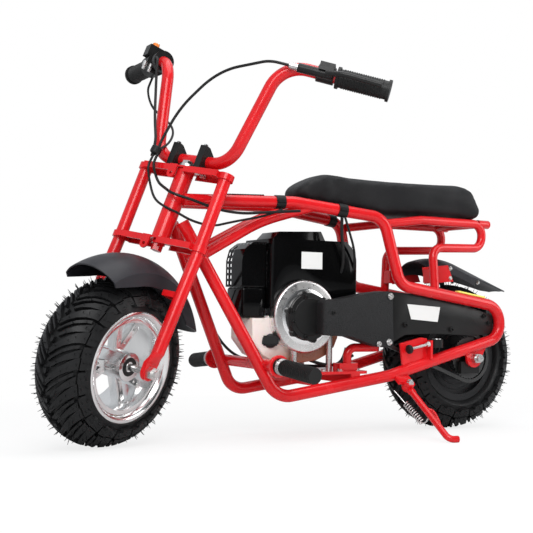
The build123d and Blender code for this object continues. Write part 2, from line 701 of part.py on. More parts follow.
# Front axle with its nuts
FRONT_NUT_ACROSS = 19.0
FRONT_END = FLAT_Y + FLAT_T + NUT_H + 6
front_axle = turned([(-FRONT_END, 0), (FRONT_END, 0), (FRONT_END, AXLE_R), (-FRONT_END, AXLE_R)])
front_nut = hexagon(0, 0, FRONT_NUT_ACROSS, FLAT_Y + FLAT_T, FLAT_Y + FLAT_T + NUT_H, AXLE_R - 1)
finish(front_axle + front_nut + mirrored(front_nut), "front_axle", FRONT_HUB)

# Handlebar, clamped in two risers on the upper plate
bar_w = HEAD_LENGTH + BAR_LIFT
BAR_LOW = (-7, 82.4, bar_w)
BAR_HIGH = (9.7, 128.8, bar_w + 192)
BAR_TIP = (-76.8, 294.4, bar_w + 198.4)


def far_side(point):
    return (point[0], -point[1], point[2])


bar = tube([far_side(BAR_TIP), far_side(BAR_HIGH), far_side(BAR_LOW), BAR_LOW, BAR_HIGH, BAR_TIP],
           [56, 46, 46, 56], BAR_R)
finish(bar, "handlebar", TURNED)
RISER_Y = 31.0
RISER_HALF_W = 6.5
plate_top = HEAD_LENGTH
RISER_SIDE = [(15, plate_top), (15, plate_top + 44), (3, plate_top + 44), (-24, plate_top + 29),
              (-30, plate_top + 25), (-30, plate_top)]
riser = slab(RISER_SIDE, RISER_Y - RISER_HALF_W, RISER_Y + RISER_HALF_W) - bar
finish(pair(riser), "bar_risers", TURNED)

# Grips, and beside them the throttle housing on the right and the brake lever on the left.
# Along the bar from its tip: distance, then forward of it and above it.
tip = Vector(*BAR_TIP)
inboard = (Vector(*BAR_HIGH) - tip).normalized()
ahead = Vector(0, 0, 1).cross(inboard) * -1
ahead = ahead.normalized() if ahead.X > 0 else ahead.normalized() * -1
above = inboard.cross(ahead).normalized()
above = above if above.Z > 0 else above * -1


def by_grip(distance, forward, up):
    return tip + inboard * distance + ahead * forward + above * up


def ring_on_bar(start, length, radius):
    with BuildPart() as ring:
        with BuildSketch(Plane(origin=by_grip(start, 0, 0), z_dir=inboard)):
            Circle(radius)
        extrude(amount=length)
    return ring.part - bar


grip = ring_on_bar(-GRIP_CAP, GRIP_LENGTH + GRIP_CAP, GRIP_R)
grip += ring_on_bar(-GRIP_CAP, GRIP_FLANGE_T, GRIP_FLANGE_R)
grip += ring_on_bar(GRIP_LENGTH - GRIP_FLANGE_T, GRIP_FLANGE_T, GRIP_FLANGE_R)
finish(pair(grip), "grips", TURNED)


def block_on_bar(start, length, forward, up):
    """Block beside the bar, between two distances forward of it and two above it."""
    middle = by_grip(start + length / 2, sum(forward) / 2, sum(up) / 2)
    with BuildPart() as block:
        with Locations(Plane(origin=middle, x_dir=ahead, z_dir=inboard)):
            Box(forward[1] - forward[0], up[1] - up[0], length)
    return block.part - bar


PERCH_START = GRIP_LENGTH + 4
PERCH_LENGTH = 30.0
PERCH_R = 15.0
PERCH_REACH = 62.0
LEVER_R = 5.0
LEVER_LOW = -8.0
arm_end = by_grip(PERCH_START + PERCH_REACH, 19, LEVER_LOW)
perch_arm = tube([by_grip(PERCH_START + 2, 20, LEVER_LOW), arm_end], None, 8)
adjuster = tube([arm_end - inboard, arm_end + inboard * 16], None, 5)
perch = ring_on_bar(PERCH_START, PERCH_LENGTH, PERCH_R) + (perch_arm - bar) + adjuster
perch += block_on_bar(PERCH_START, PERCH_LENGTH - 4, (8, 32), (LEVER_LOW + 2, 9))
finish(perch, "lever_perch", TURNED)
lever = tube([by_grip(PERCH_START + 12, 30, LEVER_LOW - 2), by_grip(GRIP_LENGTH - 16, 38, LEVER_LOW),
              by_grip(10, 34, LEVER_LOW)], [60], LEVER_R) - perch
finish(largest(lever), "brake_lever", TURNED)

# Throttle housing with its switch block, and the round cable drum beside it
HOUSING_LENGTH = 34.0
HOUSING_R = 21.0
housing = ring_on_bar(GRIP_LENGTH + SHROUD_GAP, HOUSING_LENGTH, HOUSING_R)
housing += block_on_bar(GRIP_LENGTH + SHROUD_GAP, HOUSING_LENGTH - 8, (-4, 24), (12, 34))
housing += ring_on_bar(GRIP_LENGTH + HOUSING_LENGTH + SHROUD_GAP, 26, 14)
housing += ring_on_bar(GRIP_LENGTH + HOUSING_LENGTH + 22, 12, HOUSING_R - 1)
finish(mirrored(housing), "throttle_housing", TURNED)

# Brake and throttle cables on the fork, from the controls down to the front of the upper plate
CABLE_R = 2.5
brake_end = arm_end + inboard * 16
BRAKE_ROUTE = [brake_end, by_grip(PERCH_START + 112, 19, LEVER_LOW), (36, 20, 312), (34, -36, 236),
               (30, -54, 168), (30, -50, 140)]
brake_cable = cable(BRAKE_ROUTE, CABLE_R)
finish(brake_cable, "brake_cable", TURNED)
THROTTLE_ROUTE = [by_grip(GRIP_LENGTH + HOUSING_LENGTH + 34 + SHROUD_GAP, 17, 0),
                  by_grip(GRIP_LENGTH + HOUSING_LENGTH + 56, 20, -10), (20, 134, 300), (24, 96, 218),
                  (30, 66, 170), (31, 61, 140)]
throttle_cable = mirrored(cable(THROTTLE_ROUTE, CABLE_R))
finish(throttle_cable, "throttle_cable", TURNED)

# Their onward runs on the frame, from beside the head tube back along the left top tube
CLUTCH_ROUTE = [(627, -6, 300), (628, 24, 288), (594, 44, 276), (548, 46, 262), (500, 46, 258), (440, 56, 264),
                (392, 64, 268)]
finish(cable(CLUTCH_ROUTE, CABLE_R), "frame_cable")

# Front fender: arch over the tyre with side flanks that shorten towards its front edge
FENDER_GAP = 39.0
FENDER_HALF_W = 56.0
FENDER_CROWN = 25.0
FENDER_FLANK = 22.0
FENDER_T = 2.5
FRONT_ARC = (-58.0, 47.0)
FRONT_TAIL_Z = 105.0
fender_r = TYRE_R + FENDER_GAP


def on_arc(radius, angle):
    """Side-view point at an angle forward of the top of the wheel."""
    return (radius * sin(radians(angle)), 0, radius * cos(radians(angle)))


def fender(route, half, crown, flank):
    """Arched section with straight side flanks, swept along its crown line in the XZ plane."""
    inner, low = half - FENDER_T, -crown - flank
    with BuildPart() as shell:
        with BuildSketch(Plane(origin=route @ 0, x_dir=(0, 1, 0), z_dir=route % 0)):
            with BuildLine():
                ThreePointArc((-half, -crown), (0, 0), (half, -crown))
                Polyline((half, -crown), (half, low), (inner, low), (inner, -crown))
                ThreePointArc((inner, -crown), (0, -FENDER_T), (-inner, -crown))
                Polyline((-inner, -crown), (-inner, low), (-half, low), (-half, -crown))
            make_face()
        sweep(path=route)
    return shell.part


with BuildLine() as front_crown:
    ThreePointArc(on_arc(fender_r, FRONT_ARC[0]), on_arc(fender_r, 0), on_arc(fender_r, FRONT_ARC[1]))
front_shell = fender(front_crown.line, FENDER_HALF_W, FENDER_CROWN, FENDER_FLANK)
lip_cut = slab([(40, 131), (109, 103), (125, 95), (200, 60), (200, -20), (40, -20)], -90, 90)
tail_cut = box((-200, -40), (-90, 90), (-20, FRONT_TAIL_Z))
front_fender = front_shell - lip_cut - tail_cut
finish(front_fender, "front_fender", FRONT_HUB)
hub_to_fork = Location((FORK_AHEAD, 0, -FORK_DROP))
stay = box((-13, 10), (FENDER_HALF_W + SHROUD_GAP, LEG_SPREAD), (130 - FORK_DROP, 140 - FORK_DROP)) - leg
finish(pair(stay.solids().sort_by(Axis.Y)[0]), "fender_brackets", TURNED)

# Rear fender: arch over the wheel, drawn out straight into a narrow tail
REAR_HALF_W = 50.0
REAR_CROWN = 18.0
REAR_FLANK = 14.0
with BuildLine() as rear_crown:
    FilletPolyline((-150, 0, 133), (40, 0, 203), (88, 0, 190), radius=130)
rear_shell = fender(rear_crown.line, REAR_HALF_W, REAR_CROWN, REAR_FLANK)
with BuildPart() as rear_outline:
    with BuildSketch():
        Polygon((160, REAR_HALF_W), (-20, REAR_HALF_W), (-118, 32), (-135, 23), (-142, 0), (-135, -23),
                (-118, -32), (-20, -REAR_HALF_W), (160, -REAR_HALF_W), align=None)
    extrude(amount=300)
rear_fender = rear_shell & rear_outline.part
finish(rear_fender, "rear_fender")
TAB = [(104, 176), (42, 182), (28, 150), (98, 144)]
tab_plate = slab(TAB, REAR_HALF_W + SHROUD_GAP, REAR_HALF_W + 4)
tab_plate += box((90, 104), (REAR_HALF_W + 4, 80), (146, 172))
tab = (tab_plate - rear_fender - seat_loop).solids().sort_by(Axis.Y)[0]
finish(pair(tab), "fender_tabs")

# Seat: long cushion, flat below where it lies on its rails and sloping up to the nose
SEAT_LOW = 274.8
SEAT_TOP = 339.0
SEAT_HALF_W = 76.0
NOSE_HALF_W = 42.0
seat_nose = fore(250, 0, 0)[0]
SEAT_EDGE_R = 16.0
with BuildPart() as seat:
    with BuildSketch(Plane.XZ.offset(-SEAT_HALF_W)):
        with BuildLine():
            Polyline((-30, SEAT_LOW), (190, SEAT_LOW), (226, 278.5), (300, 285.5), (seat_nose - 8, 297),
                     (seat_nose, 306), (seat_nose - 6, 318))
            ThreePointArc((seat_nose - 6, 318), (seat_nose - 34, 333), (322, SEAT_TOP + 2))
            ThreePointArc((322, SEAT_TOP + 2), (150, SEAT_TOP - 4), (4, SEAT_TOP + 1))
            Polyline((4, SEAT_TOP + 1), (-8, SEAT_TOP - 3), (-34, 294), (-30, SEAT_LOW))
        make_face()
    extrude(amount=2 * SEAT_HALF_W)
    with BuildSketch(Plane.XY.offset(SEAT_LOW)):
        with BuildLine():
            Polyline((seat_nose - 30, -NOSE_HALF_W), (120, -SEAT_HALF_W), (-60, -SEAT_HALF_W),
                     (-60, SEAT_HALF_W), (120, SEAT_HALF_W), (seat_nose - 30, NOSE_HALF_W))
            ThreePointArc((seat_nose - 30, NOSE_HALF_W), (seat_nose + 4, 0), (seat_nose - 30, -NOSE_HALF_W))
        make_face()
    extrude(amount=100, mode=Mode.INTERSECT)
    with BuildSketch(Plane.YZ.offset(-SEAT_HALF_W)) as seat_section:
        with Locations((0, (SEAT_LOW + SEAT_TOP + 2) / 2)):
            Rectangle(2 * SEAT_HALF_W, SEAT_TOP + 2 - SEAT_LOW)
        fillet(seat_section.vertices().group_by(Axis.Z)[-1], SEAT_EDGE_R)
    extrude(amount=seat_nose + 2 * SEAT_HALF_W, mode=Mode.INTERSECT)
finish(seat.part, "seat")

# Side stand: folds rearwards about a bolt that leans out from the left rail
STAND_BOLT = Vector(176, 102, -49)
STAND_FOOT = Vector(179, 225, -145)
STAND_STOWED = Vector(-1, 0.12, -0.14)
STAND_ROD_R = 6.0
STAND_EYE_R = 11.0
STAND_EYE_T = 7.0
STAND_BOLT_R = 5.0
STAND_NECK = 16.0
FOOT_LENGTH = 18.0
STAND_GAP = 0.3


def ground_height(point):
    """Height above the ground of a point on the upright machine once it is parked."""
    return (PARKED * Location(point)).position.Z


def on_ground(point, lift):
    """The point moved up or down the machine until it is this far above the ground."""
    low = ground_height(point)
    rise = ground_height(point + Vector(0, 0, 1)) - low
    return point + Vector(0, 0, (lift - low) / rise)


stand_end = on_ground(STAND_FOOT, STAND_ROD_R)
stand_way = (stand_end - STAND_BOLT).normalized()
stand_axis = stand_way.cross(STAND_STOWED.normalized()).normalized()
stand_plane = Plane(origin=STAND_BOLT, x_dir=stand_way, z_dir=stand_axis)
foot_end = on_ground(stand_end + Vector(-FOOT_LENGTH, 3, 0), STAND_ROD_R)
neck = STAND_BOLT + stand_way * STAND_NECK

with BuildPart() as stand_eye:
    with BuildSketch(stand_plane.offset(-STAND_EYE_T / 2)):
        Circle(STAND_EYE_R)
        with Locations((STAND_NECK / 2 + 2, 0)):
            Rectangle(STAND_NECK + 4, 2 * STAND_ROD_R + 2)
        Circle(STAND_BOLT_R + AXLE_FIT, mode=Mode.SUBTRACT)
    extrude(amount=STAND_EYE_T)
stand_rod = tube([neck, stand_end, foot_end], [12], STAND_ROD_R)
finish(stand_eye.part + stand_rod, "side_stand")

# Bracket on the rail, with the bolt and its head through the eye of the stand
BRACKET_T = 6.0
with BuildPart() as stand_bracket:
    with BuildSketch(stand_plane.offset(STAND_EYE_T / 2 + STAND_GAP)):
        Circle(STAND_EYE_R)
        with Locations((-16, -6)):
            Rectangle(32, 34)
    extrude(amount=BRACKET_T)
    with BuildSketch(stand_plane.offset(STAND_EYE_T / 2 + STAND_GAP + BRACKET_T + 3)):
        Circle(STAND_BOLT_R)
    extrude(amount=-(STAND_EYE_T + 2 * STAND_GAP + BRACKET_T + 3))
    with BuildSketch(stand_plane.offset(-STAND_EYE_T / 2 - STAND_GAP)):
        RegularPolygon(8, 6)
    extrude(amount=-5)
finish(largest(stand_bracket.part - down_tube - rear_loop), "stand_bracket")

# Chain tensioner plate standing on the left rail, with its adjusting knob and bolt
TENSION_Y = 80.0
TENSION_T = 4.0
TENSIONER = [(180, 30), (131, 41), (117, 39), (110, -12), (172, -24)]
with BuildPart() as tensioner:
    add(slab(TENSIONER, TENSION_Y, TENSION_Y + TENSION_T))
    add(box((112, 117), (TENSION_Y + TENSION_T - 1, TENSION_Y + 16), (0, 36)))
    add(disc(163, 20, 7.5, TENSION_Y + TENSION_T, TENSION_Y + 14))
finish(largest(tensioner.part - down_tube - rear_loop), "chain_tensioner")

# Red stay from the engine plate up and back to the chain guard
STAY = [(285, 62, PLATE_TOP + 6), (285, 62, 22), (238, 66, 22), (226, 78, 23)]
with BuildPart() as stay_foot:
    add(box((268, 308), (50, 72), (PLATE_TOP, PLATE_TOP + 14)))
guard_stay = stay_foot.part + tube(STAY, [16, 16], 8)
finish(largest(guard_stay - cover_block), "guard_stay")

# The model's own origin: on the ground, under the middle of the parked machine
spans = [piece.bounding_box() for piece in pieces]
middle_x = (min(span.min.X for span in spans) + max(span.max.X for span in spans)) / 2
middle_y = (min(span.min.Y for span in spans) + max(span.max.Y for span in spans)) / 2
for piece in pieces:
    centred = piece.moved(Location((-middle_x, -middle_y, 0)))
    centred.label = piece.label
    export_step(centred, f"parts/{piece.label}.step")
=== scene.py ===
"""Looks of the small minibike: paints, castings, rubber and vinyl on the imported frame."""
import json
from math import atan2, cos, pi, radians, sin
from random import Random

import bmesh
import bpy
from mathutils import Matrix, Vector


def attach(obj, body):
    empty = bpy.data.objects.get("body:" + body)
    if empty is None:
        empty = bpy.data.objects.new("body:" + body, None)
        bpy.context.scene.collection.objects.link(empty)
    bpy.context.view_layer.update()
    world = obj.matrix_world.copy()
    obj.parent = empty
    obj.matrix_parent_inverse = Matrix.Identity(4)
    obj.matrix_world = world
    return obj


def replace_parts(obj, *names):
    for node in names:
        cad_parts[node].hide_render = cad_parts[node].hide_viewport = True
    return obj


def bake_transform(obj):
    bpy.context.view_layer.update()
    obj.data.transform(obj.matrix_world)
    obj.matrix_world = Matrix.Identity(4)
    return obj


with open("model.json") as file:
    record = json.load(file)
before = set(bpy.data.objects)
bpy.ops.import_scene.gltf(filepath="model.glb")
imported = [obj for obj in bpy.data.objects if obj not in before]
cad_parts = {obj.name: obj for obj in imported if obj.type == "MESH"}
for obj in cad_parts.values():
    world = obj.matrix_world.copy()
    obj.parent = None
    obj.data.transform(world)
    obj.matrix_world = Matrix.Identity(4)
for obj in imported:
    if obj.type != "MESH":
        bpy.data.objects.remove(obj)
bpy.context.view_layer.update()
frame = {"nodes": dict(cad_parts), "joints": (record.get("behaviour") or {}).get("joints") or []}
NODES = frame["nodes"]
JOINTS = {joint["name"]: joint for joint in frame["joints"]}

# The machine's own frames, from its joints. Sizes below are millimetres in one of them.
RAKE, FORK_AHEAD, FORK_DROP, WHEELBASE = radians(21.0), 7.0, 226.0, 724.0
HEAD_X = WHEELBASE - FORK_AHEAD * cos(RAKE) - FORK_DROP * sin(RAKE)
HEAD_Z = FORK_DROP * cos(RAKE) - FORK_AHEAD * sin(RAKE)
TYRE_R, CROWN_R = 145.0, 59.0
WELD = 0.00002
SIDES = ((1, "left"), (-1, "right"))


def joint_at(name):
    return Vector(JOINTS[name]["pos_m"]), Vector(JOINTS[name]["axis"]).normalized()


def axes(ahead, side, up, origin):
    place = Matrix((ahead, side, up)).transposed().to_4x4()
    place.translation = origin
    return place


rear_hub, rear_side = joint_at("rear_wheel_spin")
front_hub, front_side = joint_at("front_wheel_spin")
head, steer_up = joint_at("steering")
run = head - rear_hub
flat = (run - rear_side * run.dot(rear_side)).normalized()
forward = Matrix.Rotation(atan2(HEAD_Z, HEAD_X), 3, rear_side) @ flat
MACHINE = axes(forward, rear_side, forward.cross(rear_side), rear_hub)
FORK = axes(front_side.cross(steer_up), front_side, steer_up, head)
FRONT_WHEEL = axes(front_side.cross(steer_up), front_side, steer_up, front_hub)
MM = Matrix.Scale(0.001, 4)
ENGINE = MACHINE @ Matrix.Translation((0.372, 0, 0.078))


class Wire:
    """A socket of a material's nodes, so that shader maths reads as plain Python."""

    def __init__(self, finish, socket):
        self.finish, self.socket = finish, socket

    def maths(self, operation, a, b=0.0):
        return self.finish.node("ShaderNodeMath", {"operation": operation}, {0: a, 1: b})

    def __add__(self, other):
        return self.maths("ADD", self, other)

    def __mul__(self, other):
        return self.maths("MULTIPLY", self, other)

    def spread(self, low, high, to_low=0.0, to_high=1.0):
        """This value's range low to high, clamped onto another."""
        return self.finish.node("ShaderNodeMapRange", {"clamp": True},
                                {"Value": self, "From Min": low, "From Max": high, "To Min": to_low,
                                 "To Max": to_high})


class Finish:
    """One material under construction."""

    def __init__(self, name):
        self.material = bpy.data.materials.new(name)
        self.material.use_nodes = True
        self.tree = self.material.node_tree
        self.tree.nodes.clear()

    def node(self, kind, settings=None, values=None, output=0):
        made = self.tree.nodes.new(kind)
        for name, value in (settings or {}).items():
            setattr(made, name, value)
        for name, value in (values or {}).items():
            socket = made.inputs[name]
            if isinstance(value, Wire):
                self.tree.links.new(value.socket, socket)
            elif isinstance(value, tuple) and socket.type == "RGBA":
                socket.default_value = (*value, 1.0)
            else:
                socket.default_value = value
        return Wire(self, made.outputs[output])

    def place(self):
        return self.node("ShaderNodeTexCoord", output=3)

    def noise(self, scale, detail=2.0):
        return self.node("ShaderNodeTexNoise", None,
                         {"Vector": self.place(), "Scale": scale, "Detail": detail})

    def cells(self, scale):
        return self.node("ShaderNodeTexVoronoi", None, {"Vector": self.place(), "Scale": scale})

    def coordinate(self, index):
        """One of the place's X, Y and Z, by number."""
        return self.node("ShaderNodeSeparateXYZ", None, {"Vector": self.place()}, output=index)

    def blend(self, mask, low, high):
        mixed = self.tree.nodes.new("ShaderNodeMix")
        mixed.data_type = "RGBA"
        for index, value in ((0, mask), (6, low), (7, high)):
            if isinstance(value, Wire):
                self.tree.links.new(value.socket, mixed.inputs[index])
            elif index:
                mixed.inputs[index].default_value = (*value, 1.0)
            else:
                mixed.inputs[index].default_value = value
        return Wire(self, mixed.outputs[2])

    def bump(self, height, depth, strength=1.0):
        return self.node("ShaderNodeBump", None, {"Height": height, "Distance": depth, "Strength": strength})

    def done(self, **sockets):
        values = {label.replace("_", " "): value for label, value in sockets.items()}
        self.node_output(self.node("ShaderNodeBsdfPrincipled", None, values))
        return self.material

    def node_output(self, shader):
        out = self.tree.nodes.new("ShaderNodeOutputMaterial")
        self.tree.links.new(shader.socket, out.inputs["Surface"])


def glossy_paint(name, colour, deep, rough, coat, shine=0.25):
    """Powder coat under clear lacquer, with a slight orange peel and cloudy depth of colour."""
    f = Finish(name)
    cloud = f.noise(9.0, 3.0).spread(0.35, 0.7)
    dull = f.noise(30.0, 4.0).spread(0.3, 0.75, rough, rough + 0.1)
    peel = f.noise(700.0, 1.0)
    return f.done(Base_Color=f.blend(cloud, deep, colour), Roughness=dull, Specular_IOR_Level=shine,
                  Coat_Weight=coat, Coat_Roughness=0.06, Normal=f.bump(peel, 0.00002, 0.4))


def moulded(name, colour, grain, depth, rough, spread=0.12, worn=1.12):
    """Moulded plastic or rubber: its grain as a noise scale, the grain's depth, and its roughness."""
    f = Finish(name)
    fine = f.noise(grain, 2.0)
    lighter = tuple(c * worn + 0.004 for c in colour)
    return f.done(Base_Color=f.blend(f.noise(14.0, 4.0).spread(0.3, 0.7), colour, lighter),
                  Roughness=f.noise(60.0, 3.0).spread(0.3, 0.7, rough, rough + spread),
                  Specular_IOR_Level=0.25, Normal=f.bump(fine, depth, 0.8))


def metal(name, colour, rough, spread, grain, depth, dull):
    """Bare metal with faint tooling or casting texture and duller patches."""
    f = Finish(name)
    patch = f.noise(24.0, 4.0).spread(0.35, 0.7)
    darker = tuple(c * dull for c in colour)
    return f.done(Base_Color=f.blend(patch, darker, colour), Metallic=1.0,
                  Roughness=f.noise(grain / 2, 3.0).spread(0.3, 0.7, rough, rough + spread),
                  Normal=f.bump(f.noise(grain, 3.0), depth, 0.6))


def tank_finish():
    """Milky fuel tank, with painted shade that turns it brown towards its lower part and back."""
    f = Finish("tank_plastic")
    # painted shade: the milky colour turns brown towards the tank's lower part and back, by height and depth
    level = f.coordinate(2) + f.coordinate(0) * 0.5 + f.noise(20.0, 2.0) * 0.02
    milky, shade_brown = (0.86, 0.76, 0.71), (0.30, 0.12, 0.07)
    return f.done(Base_Color=f.blend(level.spread(0.215, 0.175), milky, shade_brown),
                  Roughness=f.noise(80.0).spread(0.3, 0.7, 0.25, 0.36), Subsurface_Weight=0.15,
                  Normal=f.bump(f.noise(900.0), 0.00005))


def vinyl_finish():
    """Black seat vinyl: fine leather grain in cells, worn a little smoother on the crowns of the grain."""
    f = Finish("seat_vinyl")
    grain = f.cells(1150.0).spread(0.0, 0.6)
    soft = f.noise(18.0, 3.0)
    return f.done(Base_Color=f.blend(soft.spread(0.3, 0.7), (0.007, 0.007, 0.008), (0.014, 0.014, 0.015)),
                  Roughness=grain.spread(0.0, 1.0, 0.34, 0.5), Specular_IOR_Level=0.22,
                  Normal=f.bump(grain + soft * 0.5, 0.00022, 0.8))


def guard_finish():
    """Chain cover moulded with a coarse spark-eroded texture."""
    f = Finish("textured_guard")
    pebble = f.cells(520.0).spread(0.1, 0.7)
    return f.done(Base_Color=f.blend(pebble, (0.006, 0.006, 0.006), (0.022, 0.022, 0.023)),
                  Roughness=pebble.spread(0.0, 1.0, 0.4, 0.65), Specular_IOR_Level=0.2,
                  Normal=f.bump(pebble, 0.0004, 1.0))


RED = glossy_paint("red_paint", (0.72, 0.010, 0.014), (0.56, 0.006, 0.009), 0.2, 0.35)
GLOSS_BLACK = glossy_paint("gloss_black", (0.003, 0.003, 0.0033), (0.0015, 0.0015, 0.0015), 0.06, 0.22, 0.08)
BLACK_CASTING = moulded("black_casting", (0.007, 0.007, 0.007), 500.0, 0.00014, 0.3)
BLACK_STEEL = moulded("black_steel", (0.008, 0.008, 0.008), 260.0, 0.00008, 0.25)
FENDER = moulded("fender_plastic", (0.018, 0.018, 0.022), 1400.0, 0.00005, 0.34)
TEXTURED = guard_finish()
RUBBER = moulded("grip_rubber", (0.008, 0.008, 0.008), 900.0, 0.0001, 0.42)
TYRE = moulded("tyre_rubber", (0.006, 0.006, 0.0065), 420.0, 0.0002, 0.36, 0.2)
VINYL = vinyl_finish()
TANK = tank_finish()
POLISHED = metal("polished_rim", (0.92, 0.92, 0.92), 0.14, 0.10, 120.0, 0.00006, 0.9)
CAST = metal("cast_alloy", (0.82, 0.81, 0.80), 0.24, 0.12, 300.0, 0.00012, 0.8)
ZINC = metal("zinc_steel", (0.80, 0.79, 0.78), 0.22, 0.14, 260.0, 0.0001, 0.7)
DARK_STEEL = metal("dark_steel", (0.10, 0.10, 0.10), 0.34, 0.14, 260.0, 0.0001, 0.7)
DISC_GREY = moulded("grey_disc", (0.012, 0.012, 0.013), 300.0, 0.00006, 0.24)
WHITE_PLATE = moulded("bare_plate", (0.72, 0.72, 0.70), 300.0, 0.00002, 0.4, 0.1, 1.02)
YELLOW = moulded("yellow_strip", (0.80, 0.72, 0.16), 300.0, 0.00002, 0.4)
ORANGE = moulded("orange_switch", (0.75, 0.20, 0.03), 300.0, 0.00002, 0.3)

FINISHES = (
    (RED, "head_tube top_tube_left top_tube_right rear_loop_left rear_loop_right down_tube_left"
          " down_tube_right braces seat_loop_left seat_loop_right seat_cross peg_tube engine_plate guard_stay"
          " chain_tensioner dropouts stand_bracket side_stand fork_left fork_right upper_plate lower_plate"
          " handlebar fender_brackets fender_tabs"),
    (GLOSS_BLACK, "pull_starter engine_shroud muffler_guard air_box"),
    (CAST, "engine_block clutch_housing"),
    (BLACK_CASTING, "clutch_bell throttle_housing lever_perch chain_guard_rear"),
    (BLACK_STEEL, "rear_brake bar_risers brake_lever"),
    (DISC_GREY, "rear_rim"),
    (TANK, "fuel_tank"),
    (TEXTURED, "chain_guard_front"),
    (FENDER, "front_fender rear_fender"),
    (ZINC, "engine_pillars drive_sprocket rear_axle front_axle"),
    (DARK_STEEL, "chain rear_sprocket"),
    (RUBBER, "footpegs grips brake_cable throttle_cable frame_cable"),
    (POLISHED, "front_rim"),
)
for finish, nodes in FINISHES:
    for node in nodes.split():
        mesh = NODES[node].data
        mesh.materials.clear()
        mesh.materials.append(finish)


def piece(name, mesh, finish, body, slot, place=None):
    """A finished piece on the body that carries it; its mesh is in millimetres of the given frame."""
    if place is not None:
        mesh.transform(place @ MM)
    mesh.name = name
    obj = bpy.data.objects.new(name, mesh)
    bpy.context.scene.collection.objects.link(obj)
    mesh.materials.clear()
    mesh.materials.append(finish)
    if body:
        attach(obj, body)
    return obj


def from_bmesh(bm, smooth=True, sharp=35.0):
    mesh = bpy.data.meshes.new("shape")
    bmesh.ops.recalc_face_normals(bm, faces=bm.faces)
    bm.to_mesh(mesh)
    bm.free()
    for face in mesh.polygons:
        face.use_smooth = smooth
    if smooth:
        mesh.set_sharp_from_angle(angle=radians(sharp))
    return mesh


def joined(*meshes):
    """One mesh from several, in the same frame."""
    bm = bmesh.new()
    for mesh in meshes:
        bm.from_mesh(mesh)
    whole = bpy.data.meshes.new("joined")
    bm.to_mesh(whole)
    bm.free()
    return whole


def lathe(profile, segments=96, closed=False):
    """Ring of faces about local Y through (Y, radius) points."""
    bm = bmesh.new()
    rings = []
    for y, r in profile:
        if r < 1e-6:
            rings.append([bm.verts.new((0, y, 0))])
        else:
            rings.append([bm.verts.new((r * sin(2 * pi * k / segments), y, r * cos(2 * pi * k / segments)))
                          for k in range(segments)])
    pairs = list(zip(rings, rings[1:])) + ([(rings[-1], rings[0])] if closed else [])
    for a, b in pairs:
        for k in range(segments):
            n = (k + 1) % segments
            if len(a) == 1:
                bm.faces.new((a[0], b[k], b[n]))
            elif len(b) == 1:
                bm.faces.new((a[k], b[0], a[n]))
            else:
                bm.faces.new((a[k], b[k], b[n], a[n]))
    return from_bmesh(bm)


def evaluated(obj):
    """A plain mesh of the object as its modifiers leave it."""
    depsgraph = bpy.context.evaluated_depsgraph_get()
    depsgraph.update()
    return bpy.data.meshes.new_from_object(obj.evaluated_get(depsgraph))


def softened(node, width, finish, slot, body, segments=3, angle=30.0):
    """The solid's own shape with its edges rounded by a width in millimetres, in place of the plain one."""
    bm = bmesh.new()
    bm.from_mesh(NODES[node].data)
    bmesh.ops.remove_doubles(bm, verts=bm.verts, dist=WELD)
    bmesh.ops.dissolve_limit(bm, angle_limit=radians(1.0), verts=bm.verts, edges=bm.edges)
    mesh = bpy.data.meshes.new(node + "_soft")
    bm.to_mesh(mesh)
    bm.free()
    worker = bpy.data.objects.new(node + "_worker", mesh)
    bpy.context.scene.collection.objects.link(worker)
    bevel = worker.modifiers.new("rounding", "BEVEL")
    bevel.width = width * 0.001
    bevel.segments = segments
    bevel.limit_method = "ANGLE"
    bevel.angle_limit = radians(angle)
    rounded = evaluated(worker)
    bpy.data.objects.remove(worker)
    for face in rounded.polygons:
        face.use_smooth = True
    rounded.set_sharp_from_angle(angle=radians(35))
    made = piece(node + "_shell", rounded, finish, body, slot)
    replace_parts(made, node)


# Geometry trees: copies round an axle, and copies set on chosen places
def new_tree(name, inputs):
    tree = bpy.data.node_groups.new(name, "GeometryNodeTree")
    for label, kind in inputs:
        tree.interface.new_socket(label, in_out="INPUT", socket_type=kind)
    tree.interface.new_socket("Geometry", in_out="OUTPUT", socket_type="NodeSocketGeometry")
    return tree


def step(tree, kind, settings=None, **links):
    """Add a node of a geometry tree and wire or set its inputs, given by name or as i0, i1."""
    node = tree.nodes.new(kind)
    for name, value in (settings or {}).items():
        setattr(node, name, value)
    for name, value in links.items():
        numbered = name[0] == "i" and name[1:].isdigit()
        socket = node.inputs[int(name[1:]) if numbered else name.replace("_", " ")]
        if isinstance(value, bpy.types.NodeSocket):
            tree.links.new(value, socket)
        else:
            socket.default_value = value
    return node


def ring_tree():
    """Copies of one shape, evenly round local Y."""
    tree = new_tree("copies_round_axle", [("Shape", "NodeSocketObject"), ("Count", "NodeSocketInt"),
                                           ("Material", "NodeSocketMaterial")])
    given = tree.nodes.new("NodeGroupInput").outputs
    points = step(tree, "GeometryNodePoints", Count=given["Count"])
    index = step(tree, "GeometryNodeInputIndex")
    share = step(tree, "ShaderNodeMath", {"operation": "DIVIDE"}, i0=index.outputs[0], i1=given["Count"])
    turn = step(tree, "ShaderNodeMath", {"operation": "MULTIPLY"}, i0=share.outputs[0], i1=2 * pi)
    euler = step(tree, "ShaderNodeCombineXYZ", Y=turn.outputs[0])
    rotation = step(tree, "FunctionNodeEulerToRotation", Euler=euler.outputs[0])
    shape = step(tree, "GeometryNodeObjectInfo", Object=given["Shape"])
    copies = step(tree, "GeometryNodeInstanceOnPoints", Points=points.outputs[0],
                  Instance=shape.outputs["Geometry"], Rotation=rotation.outputs[0])
    real = step(tree, "GeometryNodeRealizeInstances", Geometry=copies.outputs[0])
    finished = step(tree, "GeometryNodeSetMaterial", Geometry=real.outputs[0], Material=given["Material"])
    out = tree.nodes.new("NodeGroupOutput")
    tree.links.new(finished.outputs[0], out.inputs["Geometry"])
    return tree


